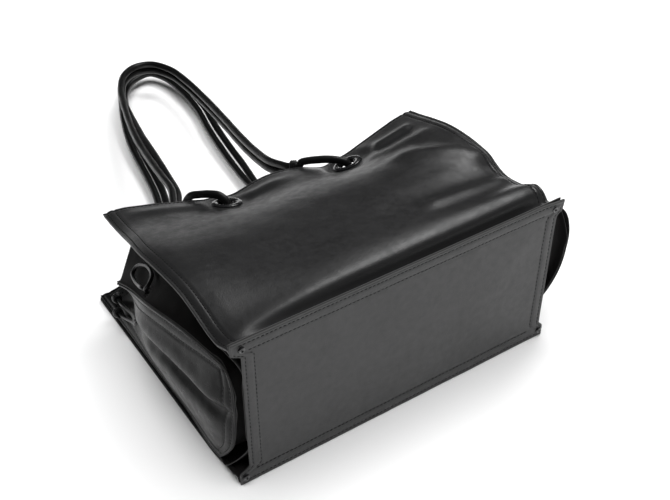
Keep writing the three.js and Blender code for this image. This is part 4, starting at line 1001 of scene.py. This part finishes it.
class TOTE_OT_stage(bpy.types.Operator):
    """Sets the camera, the floor and the studio light"""

    bl_idname = "tote.stage"
    bl_label = "Stage"

    def execute(self, context):
        scene = context.scene
        stage = scene.tote_stage
        add_camera(scene, stage.lens)
        corners = np.array([[-1, -1, 0], [1, -1, 0], [1, 1, 0], [-1, 1, 0]]) * FLOOR_HALF
        corners = corners + np.array([0, REST_CENTRE, -FIT])
        make_object("floor", corners, [[0, 1, 2, 3]], finish_of("floor"), smooth=False)
        powers = {"key_light": stage.key_power, "fill_light": stage.fill_power}
        for name, (place, target, width) in SOFT_LIGHTS.items():
            light, lamp = add_light(scene, name, "AREA", powers[name])
            light.shape = "SQUARE"
            light.size = width
            lamp.location = place
            lamp.rotation_euler = (Vector(target) - Vector(place)).to_track_quat("-Z", "Y").to_euler()
        light, lamp = add_light(scene, "overhead_light", "SUN", stage.overhead_power)
        light.angle = OVERHEAD_SPREAD
        lamp.visible_glossy = False
        world = bpy.data.worlds.new("room")
        world.use_nodes = True
        tree = world.node_tree
        toward = add_node(tree, "TexCoord", "Generated", {})
        height = add_node(tree, "SeparateXYZ", "Z", {"Vector": toward})
        strength = spread_range(tree, height, 0.6, 0.95, stage.room_light * 0.3, stage.room_light * 1.6,
                                interpolation_type="SMOOTHSTEP")
        feed(tree, tree.nodes["Background"], {"Strength": strength})
        scene.world = world
        scene.view_settings.view_transform = "Standard"
        scene.view_settings.look = "None"
        return {"FINISHED"}


def handle_line(table):
    rim = PANEL_REACH * FRONT_RIM_ALONG[0]
    along = rim + table[:, 1] * HANDLE_REACH
    spots = np.stack([table[:, 0] * HALF, along, table[:, 2] * BASE_DEPTH], -1)
    return spots, np.radians(table[:, 3])


def pair_across(ahead, turn):
    aside = unit(np.array([-ahead[1], ahead[0], 0.0]))
    upright = np.cross(ahead, aside)
    if upright[2] < 0:
        upright = -upright
    return aside * math.cos(turn) + upright * math.sin(turn)


def handle_collars(table, seats):
    spots, turns = handle_line(table)
    collars = []
    for i, (middle, _) in enumerate(seats):
        end, beyond = (spots[0], spots[1]) if i == 0 else (spots[-1], spots[-2])
        ahead = unit(beyond - middle) * (1 if i == 0 else -1)
        collars.append((end, ahead, pair_across(ahead, turns[0] if i == 0 else turns[-1])))
    return collars


def handle_route(table, seats, arches):
    spots, turns = handle_line(table)
    collars = handle_collars(table, seats)

    def strand(sign):
        def held(collar):
            place, ahead, across = collar
            middle = place + across * sign * STRAND_OFFSET
            return [middle + ahead * step * COLLAR_LENGTH for step in (-1, 0, 1)]

        free = []
        for i in range(1, len(spots) - 1):
            ahead = unit(spots[i + 1] - spots[i - 1])
            apart = sign * STRAND_OFFSET * table[i, 4]
            free.append(spots[i] + pair_across(ahead, turns[i]) * apart)
        return [*held(collars[0]), *free, *held(collars[1])]

    def through_eyelet(seat, toward, arch):
        middle, axis = seat
        to_rim = toward - middle
        to_rim = unit(to_rim - axis * np.dot(to_rim, axis))
        return [middle + to_rim * forward + axis * out for forward, out in arch]

    left, right = (through_eyelet(seats[i], collars[i][0], arches[i]) for i in (0, 1))
    return [*strand(1), *right, *strand(-1)[::-1], *left[::-1]]


def eyelet_seats(which):
    if which == "front":
        return [(centre - axis * PANEL_LEATHER / 2, axis) for centre, axis in FRONT_SEATS]
    v = 1 - EYELET_FROM_RIM / (PANEL_REACH * BACK_RIM_ALONG[0])
    down = np.array([0, 0, -1.0])
    return [(spot(back_plain, u, v) - down * PANEL_LEATHER / 2, down) for u in BACK_EYELETS]


HANDLES = {
    "front": (FRONT_HANDLE, (FRONT_LEFT_ARCH, FRONT_RIGHT_ARCH)),
    "back": (BACK_HANDLE, (BACK_ARCH, BACK_ARCH)),
}


class TOTE_OT_handles(bpy.types.Operator):
    """Makes both handles of rolled leather, with the stitched seam that runs along each"""

    bl_idname = "tote.handles"
    bl_label = "Handles"

    def execute(self, context):
        sizes = context.scene.tote_sizes
        depth = CORD_RADIUS * (1 - sizes.groove_share)
        for which, (table, arches) in HANDLES.items():
            route = handle_route(table, eyelet_seats(which), arches)
            points, heads = centripetal(route, True, 2.2)
            sides = carried_sides(heads, True, first=HANDLE_SEAM_SIDE)
            run = np.cumsum(np.linalg.norm(np.roll(points, -1, 0) - points, axis=1))
            waves = CORD_UNEVEN * np.sin(run / 5.1) + CORD_UNEVEN * np.sin(run / 13.7)
            swell = CORD_RADIUS * (1 + waves)
            cord = tube(points, heads, sides, swell, 24, True, groove=sizes.groove_share)
            add_piece(f"handle_{which}_cord", cord, "cord", "cord_leather", f"handle_{which}")
            line, out = (np.concatenate([a, a[:1]]) for a in (points + sides * depth, sides))
            stitches(f"handle_{which}_stitches", [(line, out)], sizes, "cord_leather")
        return {"FINISHED"}


class TOTE_OT_collars(bpy.types.Operator):
    """Wraps three turns of thin leather round the two strands beyond each eyelet"""

    bl_idname = "tote.collars"
    bl_label = "Collars"

    def execute(self, context):
        turn_width = COLLAR_LENGTH / 3
        reach = CORD_RADIUS + FIT / 2 + turn_width / 2
        angles = np.linspace(-math.pi / 2, math.pi / 2, 14)
        for which, (table, _) in HANDLES.items():
            for side, collar in zip(("left", "right"), handle_collars(table, eyelet_seats(which))):
                place, ahead, across = collar
                upright = np.cross(ahead, across)
                half = [across * (STRAND_OFFSET + reach * math.cos(a)) + upright * reach * math.sin(a)
                        for a in angles]
                outline = half + [-point for point in half]
                parts = []
                for step in (-1, 0, 1):
                    loop = np.array([place + ahead * step * turn_width + o for o in outline])
                    points, heads = centripetal(loop, True, 1.2)
                    sides = carried_sides(heads, True, first=ahead)
                    parts.append(tube(points, heads, sides, turn_width * 0.53, 10, True))
                add_piece(f"collar_{which}_{side}_wrap", gather(parts), "cord", "cord_leather",
                          f"collar_{which}_{side}")
        return {"FINISHED"}


def turned_piece(name, profile, count, middle, axis, node):
    verts, faces = turned(profile, count, middle, axis)
    add_piece(name, (verts, [f[::-1] for f in faces]), "metal", "eyelet_metal", node)


class TOTE_OT_eyelets(bpy.types.Operator):
    """Turns the four gloss black eyelets and the corner rivets"""

    bl_idname = "tote.eyelets"
    bl_label = "Eyelets and rivets"

    def execute(self, context):
        inner, outer = EYELET_INNER / 2, EYELET_OUTER / 2
        thick = PANEL_LEATHER / 2 + FIT
        barrel = inner + EYELET_BARREL
        rolled = [(mix(inner, outer, 0.5) + (outer - inner) / 2 * math.cos(a),
                   thick + EYELET_RISE * max(math.sin(a), 0) ** 0.7)
                  for a in np.linspace(0, math.pi, 15)]
        under = [(inner, 0), (inner, -thick - 0.5 * EYELET_RISE),
                 (inner + 0.8, -thick - 0.9 * EYELET_RISE), (barrel + 1.4, -thick - EYELET_RISE),
                 (barrel + 2.8, -thick - 0.7 * EYELET_RISE), (outer - 1, -thick), (barrel, -thick),
                 (barrel, thick)]
        for which in HANDLES:
            for side, (middle, axis) in zip(("left", "right"), eyelet_seats(which)):
                name = f"eyelet_{which}_{side}"
                turned_piece(f"{name}_ring", rolled + under, 64, middle, axis, name)
        radius = RIVET_WIDTH / 2
        shares = [(1, 0.35), (0.86, 0.8), (0.66, 1), (0.46, 0.82), (0.3, 0.5)]
        cap = [(0.001, -0.05), (radius, -0.05)]
        cap += [(across * radius, high * RIVET_RISE) for across, high in shares]
        cap.append((0.001, 0.42 * RIVET_RISE))
        for side, name in SIDES:
            for level, high in (("lower", RIVET_FROM_EDGE), ("upper", BASE_DEPTH - RIVET_FROM_EDGE)):
                place = np.array([side * (HALF - RIVET_FROM_EDGE), -FIT, high])
                node = f"rivet_{level}_{name}"
                turned_piece(f"{node}_cap", cap, 40, place, (0, -1, 0), node)
        return {"FINISHED"}


def knot(end, beyond, radius):
    """Turns of a tie's cord wound round its own end."""
    axis = unit(beyond - end)
    a = unit(np.cross(axis, [0.2, 0.1, 1.0]))
    b = np.cross(axis, a)
    wind = KNOT_WIDTH / 2 - radius
    coil = []
    for share in np.linspace(0, 1, 44):
        angle = share * KNOT_TURNS * 2 * math.pi
        along = axis * KNOT_LENGTH * 0.36 * (1 - 2 * share)
        reach = wind * (1 - 0.18 * abs(2 * share - 1))
        coil.append(end + along + (a * math.cos(angle) + b * math.sin(angle)) * reach)
    coil.append(coil[-1] - axis * 2.6 - a * 1.2)
    points, heads = centripetal(coil, False, 1.2)
    return tube(points, heads, carried_sides(heads, False), radius * 0.96, 12, False)


class TOTE_OT_ties(bpy.types.Operator):
    """Makes the side ties, each a thin cord with a wound knot at both ends"""

    bl_idname = "tote.ties"
    bl_label = "Side ties"

    def execute(self, context):
        radius = TIE_CORD / 2
        for side, name in SIDES:
            route = []
            for on, u, v, out in TIE_LINE:
                place, off = (ply_spot if on else gusset_spot)(side, u, v)
                route.append(place + off * out)
            points, heads = centripetal(route, False, 1.3)
            cord = tube(points, heads, carried_sides(heads, False), radius, 14, False, groove=0.1)
            parts = [cord, knot(route[0], route[1], radius), knot(route[-1], route[-2], radius)]
            add_piece(f"tie_{name}_cord", gather(parts), "cord", "cord_leather", f"tie_{name}")
        return {"FINISHED"}


class TOTE_OT_base(bpy.types.Operator):
    """Makes the stiff base panel with its double stitched border"""

    bl_idname = "tote.base"
    bl_label = "Base"

    def execute(self, context):
        sizes = context.scene.tote_sizes
        across, up = places(BASE_WIDTH, 2.6), places(BASE_DEPTH, 2.6)
        grid = grid_of(base_point, across, up)
        reach = edge_reach(grid)
        far = np.minimum.reduce(reach)
        # The middle lies a little lower than the border and is not quite flat
        relief = seam_relief(far, sizes, BASE_STITCH, OUTER_STITCH, puff=False)
        relief -= BASE_STEP * ease((far - BASE_STEP_AT) / BASE_STEP_RUN)
        lumps = BASE_LUMPS * soft_noise(grid, 70, 1) * ease((far - 12) / 20)
        relief += BASE_SWELL * ease((far - 14) / 50) + lumps
        # The upper right corner is bent outward
        corner = np.hypot(HALF + 1 - grid[..., 0], BASE_DEPTH - grid[..., 2])
        relief += CORNER_BEND * np.exp(-((corner / CORNER_REACH) ** 2)) + 0.25 * soft_noise(grid, 26, 2)
        grid = grid - relief[..., None] * np.array([0, 1.0, 0])
        panel = leather_sheet("base_panel_leather", grid, BASE_LEATHER, finish_of("base"))
        dress(panel, "base_leather", "base_panel")
        runs = []
        normals = grid_normals(grid)
        for distance in (OUTER_STITCH, BASE_STITCH):
            trim = [r >= distance - FIT for r in reach]
            for k, by_row in ((2, True), (3, True), (0, False), (1, False)):
                line = line_at(grid, reach[k], distance, by_row)
                turn = line_at(normals, reach[k], distance, by_row)
                first, last = (0, 1) if by_row else (2, 3)
                keep = trim[first] & trim[last]
                keep = keep[:, len(across) // 2] if by_row else keep[len(up) // 2]
                runs.append((line[keep], turn[keep]))
        stitches("base_stitches", runs, sizes, "base_leather")
        return {"FINISHED"}


def panel_runs(grid, reach, sign=1):
    """Stitch lines of a panel: two along each side flange and one along the rim."""
    normals = grid_normals(grid) * sign
    rows = [(k, distance, True) for k in (2, 3) for distance in SIDE_STITCHES]
    rows.append((1, RIM_STITCH, False))
    return [(line_at(grid, reach[k], distance, by_row), line_at(normals, reach[k], distance, by_row))
            for k, distance, by_row in rows]


class TOTE_OT_front(bpy.types.Operator):
    """Makes the soft front panel with its folds, its flange at the base and its stitched edges"""

    bl_idname = "tote.front"
    bl_label = "Front panel"

    def execute(self, context):
        sizes = context.scene.tote_sizes
        flange_rows = -np.linspace(1, 0, 16)[:-1]
        roll_rows = np.linspace(0, 0.16, 24)[:-1]
        body_rows = 0.16 + 0.84 * places(PANEL_REACH * 0.9 * 0.84, 2.4)[1:]
        along = np.unique(np.round(np.concatenate([flange_rows, roll_rows, body_rows]), 6))
        u, v = np.meshgrid(places(BASE_WIDTH, 2.4), along)
        grid = front_point(u, v)
        reach = edge_reach(grid)
        side_far = np.minimum(reach[2], reach[3])
        relief = seam_relief(side_far, sizes)
        relief += seam_relief(reach[1], sizes, 0.0, RIM_STITCH, puff=False)
        ripple = 0.6 * soft_noise(grid, 54, 3) + 0.36 * soft_noise(grid, 23, 4)
        height = sizes.ripple_height * MILLIMETRES
        relief += height * ripple * ease((v - 0.12) * 5) * ease(side_far / 24)
        # The leather is calm under each eyelet and pulled into creases round it
        calm = np.ones_like(relief)
        for centre, _ in FRONT_SEATS:
            away = np.linalg.norm(grid - centre, axis=-1)
            calm *= ease((away - CALM_REACH) / CALM_RUN)
            pull = np.exp(-(((away - CREASE_REACH) / CREASE_WIDE) ** 2))
            angle = np.arctan2(grid[..., 1] - centre[1], grid[..., 0] - centre[0])
            relief += CREASE_RISE * pull * np.sin(angle * CREASES + 0.6)
        relief = relief * calm * np.where(v < 0, 0, 1)
        tuck = np.exp(-(((v - TUCK_AT) / TUCK_WIDE) ** 2)) * ease(u * 7) * ease((1 - u) * 9)
        relief -= TUCK_DEPTH * tuck * (v > 0)
        grid = grid + grid_normals(grid) * relief[..., None]
        holes = [(centre, axis, EYELET_CUT) for centre, axis in FRONT_SEATS]
        panel = leather_sheet("front_panel_leather", grid, PANEL_LEATHER, finish_of("panel"),
                              holes=holes)
        dress(panel, "panel_leather", "front_panel")
        body = v[:, 0] >= 0
        runs = panel_runs(grid[body], [r[body] for r in reach])
        stitches("front_stitches", runs, sizes, "panel_leather")
        return {"FINISHED"}


class TOTE_OT_back(bpy.types.Operator):
    """Makes the back panel that the bag rests on"""

    bl_idname = "tote.back"
    bl_label = "Back panel"

    def execute(self, context):
        sizes = context.scene.tote_sizes
        flange_rows = -np.linspace(1, 0, 12)[:-1]
        roll_rows = np.linspace(0, 0.14, 14)[:-1]
        body_rows = 0.14 + 0.86 * places(PANEL_REACH * 0.86, 3.2)
        along = np.unique(np.round(np.concatenate([flange_rows, roll_rows, body_rows]), 6))
        u, v = np.meshgrid(places(BASE_WIDTH, 3.2), along)
        grid = back_point(u, v)
        reach = edge_reach(grid)
        normals = -grid_normals(grid)
        sink = seam_relief(np.minimum(reach[2], reach[3]), sizes, puff=False)
        sink += seam_relief(reach[1], sizes, 0.0, RIM_STITCH, puff=False)
        grid = grid + normals * np.minimum(sink, 0)[..., None] * np.where(v < 0, 0, 1)[..., None]
        holes = [(middle, axis, EYELET_CUT) for middle, axis in eyelet_seats("back")]
        panel = leather_sheet("back_panel_leather", grid, PANEL_LEATHER, finish_of("panel"), flip=True,
                              holes=holes)
        dress(panel, "panel_leather", "back_panel")
        inner = grid - normals * PANEL_LEATHER
        body = v[:, 0] >= 0
        trimmed = [r[body] for r in reach]
        runs = panel_runs(inner[body], trimmed) + panel_runs(grid[body], trimmed, -1)
        # No stitches where the panel lies on the floor
        runs = [(line, out) for line, out in runs if line[:, 2].min() > -0.2]
        stitches("back_stitches", runs, sizes, "panel_leather")
        return {"FINISHED"}


class TOTE_OT_gussets(bpy.types.Operator):
    """Makes both gussets, fuller in the middle, with a double stitched flange all round"""

    bl_idname = "tote.gussets"
    bl_label = "Gussets"

    def execute(self, context):
        sizes = context.scene.tote_sizes
        for side, name in SIDES:
            across, along = places(GUSSET_WIDE, 2.0, fine=1.0), places(GUSSET_LONG, 2.3, fine=1.0)
            grid = grid_of(lambda u, v: gusset_point(side, u, v), across, along)
            reach = edge_reach(grid)
            far = np.minimum(np.minimum(reach[2], reach[3]), reach[0])
            relief = seam_relief(far, sizes)
            relief += seam_relief(reach[1], sizes, 0.0, RIM_STITCH, puff=False)
            ripple = 0.9 * soft_noise(grid, 30, 6 + side) + 0.5 * soft_noise(grid, 13, 8 + side)
            height = sizes.ripple_height * MILLIMETRES * GUSSET_RIPPLE
            relief += height * ripple * ease((far - INNER_STITCH) / 16)
            grid = grid + grid_normals(grid) * -side * relief[..., None]
            place, axis = gusset_spot(side, *TIE_HOLES[0])
            panel = leather_sheet(f"gusset_{name}_leather", grid, GUSSET_LEATHER, finish_of("gusset"),
                                  flip=side > 0, holes=[(place, axis, TIE_HOLE / 2)])
            dress(panel, "gusset_leather", f"gusset_{name}")
            runs = panel_runs(grid, reach, -side)
            normals = grid_normals(grid) * -side
            keep = (across > 0.09) & (across < 0.91)
            for distance in SIDE_STITCHES:
                runs.append([line_at(part, reach[0], distance, False)[keep]
                             for part in (grid, normals)])
            stitches(f"gusset_{name}_stitches", runs, sizes, "gusset_leather")
        return {"FINISHED"}


class TOTE_OT_bellows(bpy.types.Operator):
    """Makes the thin folded strips between the gussets and the rest of the bag"""

    bl_idname = "tote.bellows"
    bl_label = "Bellows"

    def execute(self, context):
        # Places across the strip: its seven lines are at whole numbers, with more between at the plies
        shares = np.array([0, 0.25, 0.5, 0.75, 1, *np.linspace(1.08, 1.96, 13), 2, 2.5, 3, 3.5, 4,
                           *np.linspace(4.04, 4.92, 13), 5, 5.25, 5.5, 5.75, 6])
        for side, name in SIDES:
            rows = bellows_rows(side)
            count, lines = rows.shape[:2]
            along = np.linspace(0, count - 1, (count - 1) * 7 + 1)
            smooth = np.empty((len(along), lines, 3))
            for k, c in np.ndindex(lines, 3):
                smooth[:, k, c] = through(np.arange(count), rows[:, k, c], along)
            low = np.minimum(shares.astype(int), lines - 2)
            part = (shares - low)[None, :, None]
            grid = smooth[:, low] * (1 - part) + smooth[:, low + 1] * part
            for _ in range(2):
                grid[:, 1:-1] = 0.5 * grid[:, 1:-1] + 0.25 * (grid[:, 2:] + grid[:, :-2])
            inner = ease((shares - 1.1) / 0.4) * ease((4.9 - shares) / 0.4)
            wave = 0.55 * soft_noise(grid, 16, 11 + side) + 0.3 * soft_noise(grid, 7, 13 + side)
            grid = grid + grid_normals(grid) * side * (wave * inner[None])[..., None]
            place, axis = ply_spot(side, *TIE_HOLES[1])
            outer = grid + grid_normals(grid) * side * BELLOWS_LEATHER / 2
            strip = leather_sheet(f"bellows_{name}_leather", outer, BELLOWS_LEATHER,
                                  finish_of("bellows"), flip=side < 0,
                                  holes=[(place, axis, TIE_HOLE / 2)], bulge=0.2)
            dress(strip, "bellows_leather", f"bellows_{name}")
        return {"FINISHED"}


class TOTE_PT_panel(bpy.types.Panel):
    """Lists the steps that make the tote bag"""

    bl_idname = "TOTE_PT_panel"
    bl_label = "Leather tote bag"
    bl_space_type = "VIEW_3D"
    bl_region_type = "UI"
    bl_category = "Tote"

    def draw(self, context):
        layout = self.layout
        for step in OPERATORS:
            layout.operator(step.bl_idname)
        for group in (context.scene.tote_sizes, context.scene.tote_looks, context.scene.tote_stage):
            box = layout.box()
            for key in group.__annotations__:
                box.prop(group, key)


OPERATORS = (
    TOTE_OT_stage,
    TOTE_OT_handles,
    TOTE_OT_collars,
    TOTE_OT_ties,
    TOTE_OT_eyelets,
    TOTE_OT_base,
    TOTE_OT_front,
    TOTE_OT_back,
    TOTE_OT_gussets,
    TOTE_OT_bellows,
)
CLASSES = (ToteSizes, ToteLooks, ToteStage, *OPERATORS, TOTE_PT_panel)


def register():
    for cls in CLASSES:
        bpy.utils.register_class(cls)
    bpy.types.Scene.tote_sizes = bpy.props.PointerProperty(type=ToteSizes)
    bpy.types.Scene.tote_looks = bpy.props.PointerProperty(type=ToteLooks)
    bpy.types.Scene.tote_stage = bpy.props.PointerProperty(type=ToteStage)


def unregister():
    del bpy.types.Scene.tote_sizes
    del bpy.types.Scene.tote_looks
    del bpy.types.Scene.tote_stage
    for cls in reversed(CLASSES):
        bpy.utils.unregister_class(cls)


def main():
    register()
    bpy.ops.tote.stage()
    bpy.ops.tote.handles()
    bpy.ops.tote.collars()
    bpy.ops.tote.ties()
    bpy.ops.tote.eyelets()
    bpy.ops.tote.base()
    bpy.ops.tote.front()
    bpy.ops.tote.back()
    bpy.ops.tote.gussets()
    bpy.ops.tote.bellows()


if __name__ == "__main__":
    main()
